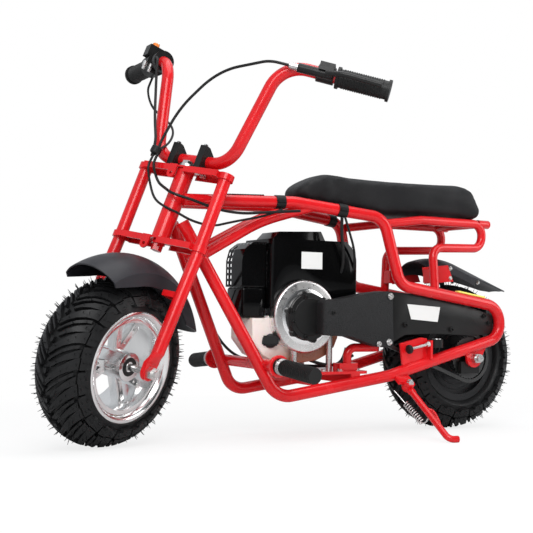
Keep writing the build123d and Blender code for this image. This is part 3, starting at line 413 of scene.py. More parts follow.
def places_tree():
    """Copies of one shape on the points of the carrier, turned and sized by the points' own attributes."""
    tree = new_tree("copies_on_places", [("Geometry", "NodeSocketGeometry"), ("Shape", "NodeSocketObject"),
                                         ("Material", "NodeSocketMaterial")])
    given = tree.nodes.new("NodeGroupInput").outputs
    turn = step(tree, "GeometryNodeInputNamedAttribute", {"data_type": "FLOAT_VECTOR"}, Name="turn")
    size = step(tree, "GeometryNodeInputNamedAttribute", {"data_type": "FLOAT"}, Name="size")
    rotation = step(tree, "FunctionNodeEulerToRotation", Euler=turn.outputs[0])
    shape = step(tree, "GeometryNodeObjectInfo", Object=given["Shape"])
    copies = step(tree, "GeometryNodeInstanceOnPoints", Points=given["Geometry"],
                  Instance=shape.outputs["Geometry"], Rotation=rotation.outputs[0], Scale=size.outputs[0])
    real = step(tree, "GeometryNodeRealizeInstances", Geometry=copies.outputs[0])
    finished = step(tree, "GeometryNodeSetMaterial", Geometry=real.outputs[0], Material=given["Material"])
    out = tree.nodes.new("NodeGroupOutput")
    tree.links.new(finished.outputs[0], out.inputs["Geometry"])
    return tree


RING, PLACES = ring_tree(), places_tree()


def input_id(tree, label):
    return next(item.identifier for item in tree.interface.items_tree
                if item.in_out == "INPUT" and item.name == label)


def run_tree(tree, carrier_mesh, shape_mesh, finish, **inputs):
    shape = bpy.data.objects.new("shape_copy", shape_mesh)
    carrier = bpy.data.objects.new("carrier", carrier_mesh)
    for obj in (shape, carrier):
        bpy.context.scene.collection.objects.link(obj)
    modifier = carrier.modifiers.new("copies", "NODES")
    modifier.node_group = tree
    modifier[input_id(tree, "Shape")] = shape
    modifier[input_id(tree, "Material")] = finish
    for label, value in inputs.items():
        modifier[input_id(tree, label)] = value
    mesh = evaluated(carrier)
    bpy.data.objects.remove(carrier)
    bpy.data.objects.remove(shape)
    return mesh


def round_axle(shape_mesh, finish, count):
    return run_tree(RING, bpy.data.meshes.new("empty"), shape_mesh, finish, Count=count)


def on_places(shape_mesh, finish, places):
    """Copies at (point, direction of the shape's Z, size)."""
    carrier = bpy.data.meshes.new("places")
    carrier.from_pydata([tuple(point) for point, _, _ in places], [], [])
    turns = [angle for _, way, _ in places for angle in Vector(way).to_track_quat("Z", "Y").to_euler()]
    sizes = [size for _, _, size in places]
    carrier.attributes.new("turn", "FLOAT_VECTOR", "POINT").data.foreach_set("vector", turns)
    carrier.attributes.new("size", "FLOAT", "POINT").data.foreach_set("value", sizes)
    return run_tree(PLACES, carrier, shape_mesh, finish)


# Tyres: carcass, chevron lugs, shoulder blocks, vent hairs
LUG_H = 7.0
PITCHES = 18
PITCH = 360.0 / PITCHES
HAIR_BEND, GROUND_GAP = 0.55, 0.004


def on_crown(turn, lean, lift=0.0):
    """Point of the tyre's crown: angle forward of the top, angle off the middle line, both in degrees."""
    a, b = radians(turn), radians(lean)
    radius = TYRE_R - CROWN_R + (CROWN_R + lift) * cos(b)
    return Vector((radius * sin(a), (CROWN_R + lift) * sin(b), radius * cos(a)))


def carcass():
    """The tyre under its lugs: crown, side walls and the inside face."""
    profile = []
    for k in range(25):
        lean = radians(-76 + 152 * k / 24)
        profile.append(((CROWN_R - LUG_H) * sin(lean), TYRE_R - CROWN_R + (CROWN_R - LUG_H) * cos(lean)))
    wall = [(51.6, 96.0), (50.0, 93.0), (47.0, 91.0), (43.0, 89.0), (38.0, 87.0), (37.0, 79.0), (28.0, 78.0)]
    far_wall = [(-y, r) for y, r in reversed(wall)]
    inside = [(20.0, 120.0), (0.0, 134.0), (-20.0, 120.0)]
    return lathe(far_wall + profile + wall + inside, 120, closed=True)


def lug(stations):
    """Raised bar through (lean, turn, half width in degrees of turn) stations, flat on its crown."""
    bm = bmesh.new()
    rows = []
    for lean, turn, half in stations:
        rows.append([bm.verts.new(on_crown(turn - half * 1.25, lean, -LUG_H - 0.5)),
                     bm.verts.new(on_crown(turn - half, lean, -0.15)),
                     bm.verts.new(on_crown(turn + half, lean, -0.15)),
                     bm.verts.new(on_crown(turn + half * 1.25, lean, -LUG_H - 0.5))])
    for a, b in zip(rows, rows[1:]):
        for k in range(3):
            bm.faces.new((a[k], a[k + 1], b[k + 1], b[k]))
    bm.faces.new(rows[0])
    bm.faces.new(rows[-1][::-1])
    return from_bmesh(bm, True, 30)


def both_sides(stations):
    return [lug(stations), lug([(-lean, turn, half) for lean, turn, half in stations])]


def tread():
    """All lugs. Each station is lean off the middle line, turn and half width, in degrees."""
    long_bar = [(1.0, 0, 1.8), (12, -4.6, 2.3), (24, -9.0, 2.9), (36, -12.6, 3.5), (46, -15.0, 4.1),
                (54, -16.4, 4.6)]
    ridge = [(2.5, 5.4, 0.8), (14, 1.0, 0.9), (26, -3.0, 1.1), (38, -6.2, 1.2), (48, -8.4, 1.3)]
    short_bar = [(10, 8.4, 1.0), (20, 4.6, 1.5), (32, 1.0, 2.1), (44, -2.0, 2.8), (52, -3.6, 3.2)]
    shoulder = [(56, -16.8, 5.2), (62, -17.2, 5.6), (68, -17.6, 5.4), (72, -17.8, 4.6)]
    small_block = [(54.5, -5.0, 4.0), (61, -5.6, 4.4), (67, -6.2, 3.8)]
    centre = [(-3.0, 11.6, 1.2), (0, 12.6, 1.6), (3.0, 11.6, 1.2)]
    parts = [lug(centre)]
    for bar in (long_bar, ridge, short_bar, shoulder, small_block):
        parts += both_sides(bar)
    return round_axle(joined(*parts), TYRE, PITCHES)


def hair():
    bm = bmesh.new()
    rings = [[bm.verts.new((r * cos(2 * pi * k / 3) + bend, r * sin(2 * pi * k / 3), z)) for k in range(3)]
             for z, r, bend in ((-0.6, 0.75, 0), (4.0, 0.6, 0.3), (8.0, 0.35, 1.2))]
    for a, b in zip(rings, rings[1:]):
        for k in range(3):
            bm.faces.new((a[k], a[(k + 1) % 3], b[(k + 1) % 3], b[k]))
    bm.faces.new(rings[-1])
    return from_bmesh(bm)


def vents(place, seed):
    """Vent hairs on the lugs, clear of the ground."""
    places = []
    draws = Random(seed)
    for k in range(PITCHES):
        for lean, turn in ((3, -0.5), (12, -4.6), (20, 4.6), (28, -10.2), (36, -12.6), (44, -2.0),
                           (50, -15.8), (50, -3.4), (60, -17.0), (60, -5.4), (66, -17.4), (66, -6.0),
                           (70, -17.6), (24, -2.4), (40, -6.6)):
            for side in (1, -1):
                wobble = Vector([draws.uniform(-HAIR_BEND, HAIR_BEND) for _ in range(3)])
                angle = k * PITCH + turn + wobble.x * 2.0
                root = on_crown(angle, side * (lean + wobble.y * 2.0), -0.5)
                tip = on_crown(angle, side * lean, 10.0)
                if (place @ MM @ tip).z > GROUND_GAP:
                    places.append((root, (tip - root).normalized() + wobble * 0.35, 1.0 + wobble.z * 0.35))
    return on_places(hair(), TYRE, places)


for wheel, place, seed in (("front", FRONT_WHEEL, 3), ("rear", MACHINE, 11)):
    whole = joined(carcass(), tread(), vents(place, seed))
    tyre = piece(wheel + "_tyre_rubber", whole, TYRE, wheel + "_wheel", "tyre_rubber", place)
    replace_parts(tyre, wheel + "_tyre")

# Soft-edged mouldings over the plain solids
softened("engine_shroud", 6.0, GLOSS_BLACK, "black_shroud", "frame")
softened("air_box", 5.0, GLOSS_BLACK, "black_shroud", "frame")
softened("chain_guard_front", 4.0, TEXTURED, "guard_plastic", "frame", 3, 40)
softened("chain_guard_rear", 1.0, BLACK_CASTING, "guard_plastic", "frame", 2, 40)
softened("fuel_tank", 14.0, TANK, "tank_plastic", "frame", 4)
softened("clutch_housing", 5.0, CAST, "engine_alloy", "frame", 4, 50)
softened("clutch_bell", 3.0, BLACK_CASTING, "black_steel", "frame", 3, 50)


# Seat cushion: the vinyl cover swelled by its foam. Lengths are metres, the foam's run is in frames.
COVER_INSET, VOXEL, FOAM_PRESSURE, FOAM_FRAMES, SWELL_LIMIT = 0.003, 0.0055, 4.0, 20, 0.006


def cushion():
    bm = bmesh.new()
    bm.from_mesh(NODES["seat"].data)
    bmesh.ops.remove_doubles(bm, verts=bm.verts, dist=WELD)
    mesh = bpy.data.meshes.new("cushion")
    bm.to_mesh(mesh)
    bm.free()
    obj = bpy.data.objects.new("cushion_worker", mesh)
    bpy.context.scene.collection.objects.link(obj)
    shrink = obj.modifiers.new("shrink", "DISPLACE")
    shrink.strength = -COVER_INSET
    shrink.mid_level = 0.0
    remesh = obj.modifiers.new("voxels", "REMESH")
    remesh.mode = "VOXEL"
    remesh.voxel_size = VOXEL
    obj.data = evaluated(obj)
    obj.modifiers.clear()
    start = [v.co.copy() for v in obj.data.vertices]
    cloth = obj.modifiers.new("foam", "CLOTH")
    cloth.settings.use_pressure = True
    cloth.settings.uniform_pressure_force = FOAM_PRESSURE
    cloth.settings.quality = 5
    cloth.settings.effector_weights.gravity = 0.0
    cloth.point_cache.frame_start, cloth.point_cache.frame_end = 1, FOAM_FRAMES
    for number in range(1, FOAM_FRAMES + 1):
        bpy.context.scene.frame_set(number)
    swelled = evaluated(obj)
    bpy.context.scene.frame_set(1)
    for vertex, home in zip(swelled.vertices, start):
        move = vertex.co - home
        if move.length > SWELL_LIMIT:
            vertex.co = home + move.normalized() * SWELL_LIMIT
    obj.data = swelled
    obj.modifiers.clear()
    smooth = obj.modifiers.new("smooth", "SMOOTH")
    smooth.iterations = 8
    smooth.factor = 0.6
    subdivide = obj.modifiers.new("subdivide", "SUBSURF")
    subdivide.levels = subdivide.render_levels = 1
    finished = evaluated(obj)
    bpy.data.objects.remove(obj)
    for face in finished.polygons:
        face.use_smooth = True
    return finished


seat = piece("seat_cushion", cushion(), VINYL, "frame", "seat_vinyl")
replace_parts(seat, "seat")


# Shapes for the small parts, all in millimetres
def upright(mesh):
    """Turn a shape made about local Y so that it stands along local Z."""
    mesh.transform(Matrix.Rotation(pi / 2, 4, "X"))
    return mesh


def cap_screw():
    """Socket-headed screw on a washer, of head radius 1."""
    return upright(lathe([(-0.3, 0), (-0.3, 1.4), (0.15, 1.4), (0.15, 1.0), (0.9, 1.0), (1.05, 0.88),
                          (1.05, 0.55), (0.5, 0.5), (0.5, 0)], 20))


def hex_bolt():
    """Hexagon head on a washer, of head radius 1."""
    washer = lathe([(-0.3, 0), (-0.3, 1.35), (0.15, 1.35), (0.15, 0)], 20)
    head_shape = lathe([(0.1, 0), (0.1, 1.05), (0.75, 1.05), (0.9, 0.85), (0.9, 0)], 6)
    return upright(joined(washer, head_shape))


def rivet():
    """Domed head of radius 1."""
    return upright(lathe([(-0.2, 0), (-0.2, 1.0), (0.25, 0.95), (0.6, 0.65), (0.75, 0)], 14))


def bolts(name, shape, fitting, rows):
    """One piece of like fasteners: (point, direction, head radius) rows in a frame."""
    piece(name, on_places(shape(), fitting[0], rows), *fitting)


def tube_mesh(points, radius, sides=10):
    """Round tube that follows a smooth curve guided by the points."""
    data = bpy.data.curves.new("route", "CURVE")
    data.dimensions = "3D"
    data.resolution_u = 8
    data.bevel_depth = radius
    data.bevel_resolution = sides // 4
    data.use_fill_caps = True
    spline = data.splines.new("NURBS")
    spline.points.add(len(points) - 1)
    for target, point in zip(spline.points, points):
        target.co = (*point, 1.0)
    spline.order_u = 3
    spline.use_endpoint_u = True
    obj = bpy.data.objects.new("route", data)
    bpy.context.scene.collection.objects.link(obj)
    mesh = evaluated(obj)
    bpy.data.objects.remove(obj)
    for face in mesh.polygons:
        face.use_smooth = True
    return mesh


def block_mesh(low, high, round_off=0.0):
    """Box between two corners, with rounded edges."""
    bm = bmesh.new()
    bmesh.ops.create_cube(bm, size=1.0)
    for vertex in bm.verts:
        vertex.co = Vector([a + (b - a) * (c + 0.5) for a, b, c in zip(low, high, vertex.co)])
    if round_off:
        bmesh.ops.bevel(bm, geom=list(bm.edges), offset=round_off, segments=2, affect="EDGES")
    return from_bmesh(bm)


def along(mesh, point, way):
    """The mesh moved so that its local Y follows a direction from a point."""
    mesh.transform(Matrix.Translation(point) @ Vector(way).to_track_quat("Y", "Z").to_matrix().to_4x4())
    return mesh


def turned(name, profile, sides, at, way, fitting):
    """A round piece about a direction from a point, from (length along it, radius) points."""
    piece(name, along(lathe(profile, sides), at, way), *fitting)


def coil_points(start, end, radius, turns, steps=8):
    axis = end - start
    side = axis.orthogonal().normalized()
    other = axis.normalized().cross(side)
    points = []
    for k in range(turns * steps + 1):
        angle = 2 * pi * k / steps
        points.append(start + axis * k / (turns * steps) + (side * cos(angle) + other * sin(angle)) * radius)
    return points


def ribs(start, count, pitch, low, high):
    """Profile of a row of rings: where it starts, their number and pitch, and the two radii."""
    profile = [(start, low)]
    for k in range(count):
        y = start + k * pitch
        profile += [(y + 0.2 * pitch, low), (y + 0.3 * pitch, high)]
        profile += [(y + 0.7 * pitch, high), (y + 0.8 * pitch, low)]
    return profile + [(start + count * pitch, low)]


def leaning_plate(corners, y, thick):
    """Flat plate of a thickness along Y, from (X, Z) corners."""
    bm = bmesh.new()
    back = [bm.verts.new((x, y, z)) for x, z in corners]
    front = [bm.verts.new((x, y + thick, z)) for x, z in corners]
    bm.faces.new(back)
    bm.faces.new(front[::-1])
    for k in range(len(corners)):
        n = (k + 1) % len(corners)
        bm.faces.new((back[k], front[k], front[n], back[n]))
    return from_bmesh(bm, False)


def on_side(point, side):
    """The point, or its mirror image on the right."""
    return Vector((point.x, point.y * side, point.z))


# Directions, and the finish, body, slot and frame that many small parts share
Y_OUT, UP_Z = (0, 1, 0), (0, 0, 1)
FRAME_BRIGHT = (ZINC, "frame", "bright_steel", MACHINE)
FRAME_BLACK = (BLACK_STEEL, "frame", "black_steel", MACHINE)
FRAME_RUBBER = (RUBBER, "frame", "black_rubber", MACHINE)
FRAME_RED = (RED, "frame", "frame_red", MACHINE)
FORK_BRIGHT = (ZINC, "fork", "bright_steel", FORK)
FORK_RUBBER = (RUBBER, "fork", "black_rubber", FORK)

# Bolts and rivets
PEG_AT, PEG_WAY = Vector((465.5, 0, -5.5)), Vector((-0.08, 1, -0.10)).normalized()
bolts("bell_screws", cap_screw, FRAME_BRIGHT,
      [((345.0, 72, 103.0), Y_OUT, 4.2), ((347.0, 72, 50.5), Y_OUT, 4.2)])
bolts("bell_rim_screws", cap_screw, FRAME_BLACK,
      [((372 + 37 * cos(radians(a)), 72, 78 + 37 * sin(radians(a))), Y_OUT, 3.2) for a in (15, 75, -75, -15)])
bolts("cover_screws", cap_screw, FRAME_BRIGHT,
      [((214, 98, 118), Y_OUT, 4.4), ((216, 98, 33), Y_OUT, 4.4), ((239, 98, 30), Y_OUT, 3.8)])
bolts("guard_bolts", cap_screw, FRAME_BLACK,
      [((340, 98, 86), Y_OUT, 3.0), ((166.5, 79.5, 64.5), Y_OUT, 4.4), ((54.7, 79.5, 56), Y_OUT, 4.4),
       ((-29, 79.5, 82.9), Y_OUT, 3.6), ((-41, 79.5, 69.1), Y_OUT, 3.6)])
bolts("tube_end_bolts", hex_bolt, FRAME_BRIGHT,
      [((PEG_AT.x, side * 124.9, PEG_AT.z), (0, side, 0), 6.5) for side in (1, -1)]
      + [((-8.8, 92, -0.3), Y_OUT, 6.0)])
bolts("stand_bolt", hex_bolt, (ZINC, "stand", "bright_steel", MACHINE), [((174.9, 108, -43.1), Y_OUT, 6.0)])
bolts("plate_bolts", hex_bolt, FRAME_BRIGHT,
      [((x, side * 68, -20), UP_Z, 4.6) for x in (339.4, 304.7, 267.1) for side in (1, -1)])
bolts("fender_bolts", hex_bolt, FRAME_BRIGHT,
      [((36, side * 54.3, z), (0, side, 0), 3.0) for z in (176.0, 157.0) for side in (1, -1)])
bolts("tail_bolts", hex_bolt, FRAME_BRIGHT,
      [((-48, side * 40, z), (0, side, -0.4), 3.0) for side, z in ((1, 150), (-1, 152))])
bolts("front_fender_bolts", cap_screw, (BLACK_STEEL, "fork", "black_steel", FORK),
      [((-2, side * 56.5, -89), (0, side, 0), 4.0) for side in (1, -1)])
bolts("riser_bolts", hex_bolt, FORK_BRIGHT,
      [((9, side * 31, 178), UP_Z, 4.0) for side in (1, -1)]
      + [((-18, side * 31, 166), (-0.48, 0, 0.88), 4.0) for side in (1, -1)]
      + [((x, side * 31, 131), (0, 0, -1), 5.5) for x in (-12, 6) for side in (1, -1)])
bolts("stem_nut", hex_bolt, FORK_BRIGHT, [((0, 0, 139.5), UP_Z, 11.0)])


def on_spoke(spoke, side, r):
    """Place by an edge of one of the three spokes, which widens outwards."""
    angle = radians(90 + 120 * spoke + side * (8 + 9 * (r - 19) / 57))
    return (r * cos(angle), 9, r * sin(angle))


bolts("spoke_rivets", rivet, (ZINC, "front_wheel", "polished_alloy", FRONT_WHEEL),
      [(on_spoke(spoke, side, r), Y_OUT, 2.6)
       for spoke in range(3) for side in (1, -1) for r in (38.0, 66.0)])

# Chain tensioner: its adjusting screw with a black knob, and the capped roller behind it
SCREW_FRONT, SCREW_REAR, ROLLER_TOP = Vector((164, 95, 20)), Vector((121, 95, 29)), (98, 90, 38)
turned("tensioner_knob", [(-7, 0), (-7, 7), (-5.5, 8.5), (-1, 8.5), (1, 7), (3, 5), (3, 0)], 32,
       SCREW_FRONT, SCREW_REAR - SCREW_FRONT, FRAME_BLACK)
turned("tensioner_screw", [(0, 0), (0, 2.8), (38, 2.8), (38, 5.2), (44, 5.2), (44, 0)], 20,
       SCREW_FRONT, SCREW_REAR - SCREW_FRONT, FRAME_BRIGHT)
turned("tensioner_roller", [(-16, 0), (-16, 12), (-1, 12), (0, 11), (0, 0)], 36, ROLLER_TOP, UP_Z,
       (BLACK_CASTING, "frame", "black_steel", MACHINE))
turned("roller_cap", [(-1, 0), (-1, 9), (0.8, 8.5), (1.4, 0)], 36, ROLLER_TOP, UP_Z, FRAME_BRIGHT)

# Open rear ends of the seat rails, past their bends
rail_end = lathe([(0, 8.4), (27, 8.4), (28, 7.8), (28, 6.6), (20, 6.6), (20, 0)], 32)
rail_ends = [along(rail_end.copy(), (-24, side * 63.5, 266), (-1, 0, 0)) for side in (1, -1)]
piece("seat_rail_ends", joined(*rail_ends), *FRAME_RED)

# Pressed ridges of the rear wheel's disc
RIDGE_Y, RIDGE_H = 29.9, 0.8
ridges = [lathe([(RIDGE_Y, r - 1.8), (RIDGE_Y + RIDGE_H, r - 0.8), (RIDGE_Y + RIDGE_H, r + 0.8),
                 (RIDGE_Y, r + 1.8)], 96) for r in (74.0, 64.0, 54.0, 44.0)]
piece("rear_disc_ridges", joined(*ridges), DISC_GREY, "rear_wheel", "black_steel", MACHINE)

# Front hub seals and the rim's bright outer lip
LIP = [(38, 80), (46, 83), (50.2, 87), (51.0, 90.5), (50.2, 93.4), (47.5, 94.0), (44, 92), (41, 89)]
for side, name in SIDES:
    seal = lathe([(side * 43.0, 8.0), (side * 45.2, 9.0), (side * 45.2, 15.5), (side * 43.0, 16.5)], 48)
    piece("front_hub_seal_" + name, seal, RUBBER, "front_wheel", "black_rubber", FRONT_WHEEL)
    lip = lathe([(side * y, r) for y, r in LIP], 120)
    piece("front_rim_lip_" + name, lip, POLISHED, "front_wheel", "polished_alloy", FRONT_WHEEL)
softened("front_rim", 1.6, POLISHED, "polished_alloy", "front_wheel", 2, 50)

# Blank white plates where the machine carries its labels
piece("shroud_plate", block_mesh((332, 45.8, 165), (377, 46.8, 196), 0.4), WHITE_PLATE, "frame",
      "black_shroud", MACHINE)
GUARD_LABEL = [(161.5, 104.0), (82.5, 99.0), (88.0, 70.5), (152.0, 75.5)]
piece("guard_plate", leaning_plate(GUARD_LABEL, 79.4, 0.8), WHITE_PLATE, "frame", "guard_plastic", MACHINE)

# Straps and strips on the frame tubes
TOP_START, TOP_MID, TOP_REAR = (
    Vector((603.5, 22, 278)), Vector((393.5, 48, 284.5)), Vector((214.5, 74, 264.5)))
STRAP_R, STRAP_HALF = 11.3, 9.0


def strap(at, way):
    """Band round a tube, with its tail."""
    band = lathe([(end, r) for end, r in ((-STRAP_HALF, STRAP_R - 1), (-STRAP_HALF, STRAP_R + 1.2),
                                          (STRAP_HALF, STRAP_R + 1.2), (STRAP_HALF, STRAP_R - 1))], 32)
    tail = block_mesh((STRAP_R - 3, 1 - STRAP_HALF, -2), (STRAP_R + 3.5, STRAP_HALF - 1, 2), 0.8)
    return along(joined(band, tail), at, way)


straps = []
for x, a, b, side in ((424, TOP_START, TOP_MID, 1), (301, TOP_MID, TOP_REAR, 1),
                      (240, TOP_MID, TOP_REAR, -1)):
    straps.append(strap(on_side(a.lerp(b, (x - a.x) / (b.x - a.x)), side), on_side(b - a, side)))
piece("cable_straps", joined(*straps), *FRAME_RUBBER)
TEETH, TEETH_FROM, TEETH_SPAN = 16, 0.36, 0.34
teeth = [along(block_mesh((-3, -2.2, 9.5), (3, 2.2, 12.6), 0.5),
               TOP_START.lerp(TOP_MID, TEETH_FROM + TEETH_SPAN * k / (TEETH - 1)), TOP_MID - TOP_START)
         for k in range(TEETH)]
piece("toothed_strip", joined(*teeth), *FRAME_RUBBER)
RAIL_HIGH, RAIL_BACK = Vector((44, 83, 129.0)), Vector((-24, 83, 118.5))
rail_run = RAIL_BACK - RAIL_HIGH
piece("rail_strip", along(block_mesh((-6, 0, -0.5), (6, rail_run.length, 2.8), 0.6), RAIL_HIGH, rail_run),
      YELLOW, "frame", "black_rubber", MACHINE)

# Hoses and wires by name: fitting, radius and the points that guide them
WIRES = {
    "fuel_hose": (FRAME_RUBBER, 3.0, [
        (346, 30, -2), (330, 40, -9), (300, 42, -12), (278, 40, -2), (270, 36, 20)]),
    "spark_wire": (FRAME_RUBBER, 3.0, [
        (303, 66, 262), (301, 62, 235), (292, 55, 200), (288, 49, 170), (290, 44, 160)]),
    "switch_wire": (FRAME_RUBBER, 2.2, [
        (297, 66, 264), (286, 65, 237), (268, 56, 205), (262, 50, 180), (262, 44, 165)]),
    "far_cable": (FRAME_RUBBER, 2.6, [
        (584, -42, 230), (566, -54, 200), (541, -62, 158), (512, -80, 100), (491, -88, 60), (468, -84, 22),
        (443, -66, -2), (400, -30, -14), (348, 4, -13), (315, 36, -14), (290, 52, -6), (270, 60, 8)]),
    "upper_wire": (FRAME_RUBBER, 2.2, [
        (628, 14, 262), (617, 30, 254), (600, 38, 243), (577, 42, 236), (552, 42, 234), (529, 42, 240),
        (499, 42, 247), (465, 44, 254), (440, 50, 262), (424, 54, 270)]),
    "kill_wire": (FORK_RUBBER, 2.2, [
        (-50, -214, 352), (-50, -216, 325), (-40, -205, 300), (-31, -168, 262), (-31, -130, 243),
        (-36, -108, 232), (-30, -88, 212), (-10, -72, 182), (20, -62, 158), (30, -58, 142)]),
}
for name, (fitting, radius, route) in WIRES.items():
    piece(name, tube_mesh(route, radius), *fitting)

# The cables' stretch over the steering, from the tie on the fork to the runs on the frame:
# radius, points on the fork, points on the frame
CROSSINGS = {
    "crossing_cable": (2.5, [(30, -50, 150), (31, -50, 136), (33, -48, 122)],
                       [(632, -26, 312), (628, -8, 301), (629, 12, 294)]),
    "crossing_wire": (2.2, [(30, -58, 150), (32, -58, 134), (36, -56, 116)],
                      [(640, -34, 296), (640, -12, 276), (629, 14, 262), (617, 30, 254)]),
}
for name, (radius, on_fork, on_frame) in CROSSINGS.items():
    route = [(FORK @ MM) @ Vector(point) for point in on_fork]
    route += [(MACHINE @ MM) @ Vector(point) for point in on_frame]
    crossing = piece(name, tube_mesh(route, radius * 0.001), RUBBER, None, "black_rubber")
    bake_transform(crossing)
turned("cable_tie", [(-7, 0), (-7, 8), (-5, 9.5), (5, 9.5), (7, 8), (7, 0)], 24, (30, -57, 152), (0, 0.15, 1),
       FORK_RUBBER)

# Perforated wrap of the exhaust guard, with its closed top
GUARD_BACK, GUARD_FRONT, GUARD_HALF_Y, GUARD_LOW, GUARD_HIGH, GUARD_WALL = 69.0, 119.0, 31.0, 52.0, 132.0, 1.6
GUARD_COLUMNS, GUARD_ROWS, FIRST_HOLED_COLUMN, HOLE_FROM, HOLE_TO = 13, 7, 7, 0.22, 0.78


def guard_reach(z):
    """How far forward the guard's front stands at a height."""
    if z <= 100.0:
        return GUARD_FRONT
    if z <= 120.0:
        return GUARD_FRONT - 6.0 * (z - 100.0) / 20.0
    return GUARD_FRONT - 6.0 - 16.0 * (z - 120.0) / 12.0


def guard_point(column, z):
    """Point of the wrap: 0-4 along the left wall, 4-9 across the front, 9-13 back along the right wall."""
    reach = guard_reach(z)
    if column <= 4:
        return (GUARD_BACK + (reach - GUARD_BACK) * column / 4, GUARD_HALF_Y, z)
    if column <= 9:
        return (reach, GUARD_HALF_Y * (1 - 2 * (column - 4) / 5), z)
    return (reach - (reach - GUARD_BACK) * (column - 9) / 4, -GUARD_HALF_Y, z)


def perforated_guard():
    """Wall of cells, each split in three both ways so that its middle can be left open."""
    bm = bmesh.new()
    columns = [cell + part for cell in range(GUARD_COLUMNS)
               for part in ((0.0, HOLE_FROM, HOLE_TO) if cell < 9 else (0.0, 0.1, 0.9))] + [GUARD_COLUMNS]
    pitch = (GUARD_HIGH - GUARD_LOW - 6) / GUARD_ROWS
    rows = [GUARD_LOW + 2 + (cell + part) * pitch
            for cell in range(GUARD_ROWS) for part in (0.0, HOLE_FROM, HOLE_TO)]
    rows = [GUARD_LOW] + rows + [GUARD_LOW + 2 + GUARD_ROWS * pitch, GUARD_HIGH]
    grid = [[bm.verts.new(guard_point(c, z)) for c in columns] for z in rows]
    for j in range(len(rows) - 1):
        for k in range(len(columns) - 1):
            middle = (j - 1) % 3 == 1 and k % 3 == 1
            holed = middle and 0 < j < len(rows) - 2 and k // 3 >= FIRST_HOLED_COLUMN
            if not holed:
                bm.faces.new((grid[j][k], grid[j][k + 1], grid[j + 1][k + 1], grid[j + 1][k]))
    bm.faces.new(grid[-1][::3])
    obj = bpy.data.objects.new("guard_worker", from_bmesh(bm, True, 30))
    bpy.context.scene.collection.objects.link(obj)
    wall = obj.modifiers.new("wall", "SOLIDIFY")
    wall.thickness = GUARD_WALL
    wall.offset = -1.0
    solid = evaluated(obj)
    bpy.data.objects.remove(obj)
    return solid


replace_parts(piece("perforated_guard", perforated_guard(), GLOSS_BLACK, "frame", "black_shroud", ENGINE),
            "muffler_guard")

# Ribbed footpegs and grips, with the footpegs' return springs and end plates
BAR_TIP, BAR_HIGH = Vector((-76.8, 294.4, 352.4)), Vector((9.7, 128.8, 346.0))
PEG_PLATE_Y, PEG_ROOT_Y = 119.0, 129.0
for side, name in SIDES:
    way = on_side(PEG_WAY, side)
    start = Vector((PEG_AT.x, PEG_ROOT_Y * side, PEG_AT.z))
    turned("peg_ribs_" + name, ribs(12, 16, 5.2, 12.6, 14.2), 32, start, way, FRAME_RUBBER)
    coil = joined(tube_mesh(coil_points(start + way * 2, start + way * 12, 14.6, 4), 1.1, 4),
                  along(lathe([(0, 0), (0, 13.6), (9, 13.6), (9, 0)], 40), start + way * 1.5, way))
    piece("peg_spring_" + name, coil, *FRAME_BRIGHT)
    turned("peg_disc_" + name, [(0, 0), (0, 18), (1, 19), (5, 19), (6, 18), (6, 0)], 48,
           (PEG_AT.x, PEG_PLATE_Y * side, PEG_AT.z), (0, side, 0), FRAME_RED)
    tip = on_side(BAR_TIP, side)
    turned("grip_ribs_" + name, ribs(8, 18, 4.0, 15.9, 16.9), 32, tip, on_side(BAR_HIGH, side) - tip,
           FORK_RUBBER)

# Cable adjuster by the brake lever, and the switches and cable ends on the throttle housing
INBOARD = (BAR_HIGH - BAR_TIP).normalized()
AHEAD = Vector((-INBOARD.y, INBOARD.x, 0)).normalized()
ABOVE = INBOARD.cross(AHEAD)


def by_grip(distance, ahead, above, side=1):
    """Place by the bar's end: distance inboard along the grip, ahead of it and above it."""
    return on_side(BAR_TIP + INBOARD * distance + AHEAD * ahead + ABOVE * above, side)


turned("brake_adjuster", ribs(0, 6, 3.2, 5.2, 6.4), 32, by_grip(152, 19, -8), INBOARD,
       (ZINC, "fork", "lever_alloy", FORK))
turned("switch_knob", [(-2, 0), (-2, 7), (5, 7), (7, 5.5), (7, 0)], 28, by_grip(108, 12, 34, -1), UP_Z,
       (ORANGE, "fork", "black_steel", FORK))
turned("switch_toggle", [(-2, 0), (-2, 3), (9, 2.2), (11, 3.4), (13, 2.2), (13, 0)], 20,
       by_grip(98, 4, 34, -1), (0.2, 0, 1), (ZINC, "fork", "black_steel", FORK))
ends = [along(lathe([(0, 0), (0, 4.2), (9, 4.2), (9, 3), (16, 3), (16, 0)], 20), by_grip(126, ahead, -6, -1),
              (-0.2, -0.2, -1)) for ahead in (12, 24)]
piece("throttle_ends", joined(*ends), ZINC, "fork", "black_steel", FORK)

# Fuel cap on the tank's front shoulder
CAP_AT, CAP_WAY = Vector((435, 38, 34)), Vector((0.45, 0.85, 0.1)).normalized()
cap = joined(lathe([(-6, 0), (-6, 13), (2, 13), (5, 11.5), (6, 9), (6, 0)], 36),
             block_mesh((-15, 4, -9), (15, 10, 9), 2.5))
piece("fuel_cap", along(cap, CAP_AT, CAP_WAY), BLACK_CASTING, "frame", "black_steel", MACHINE)

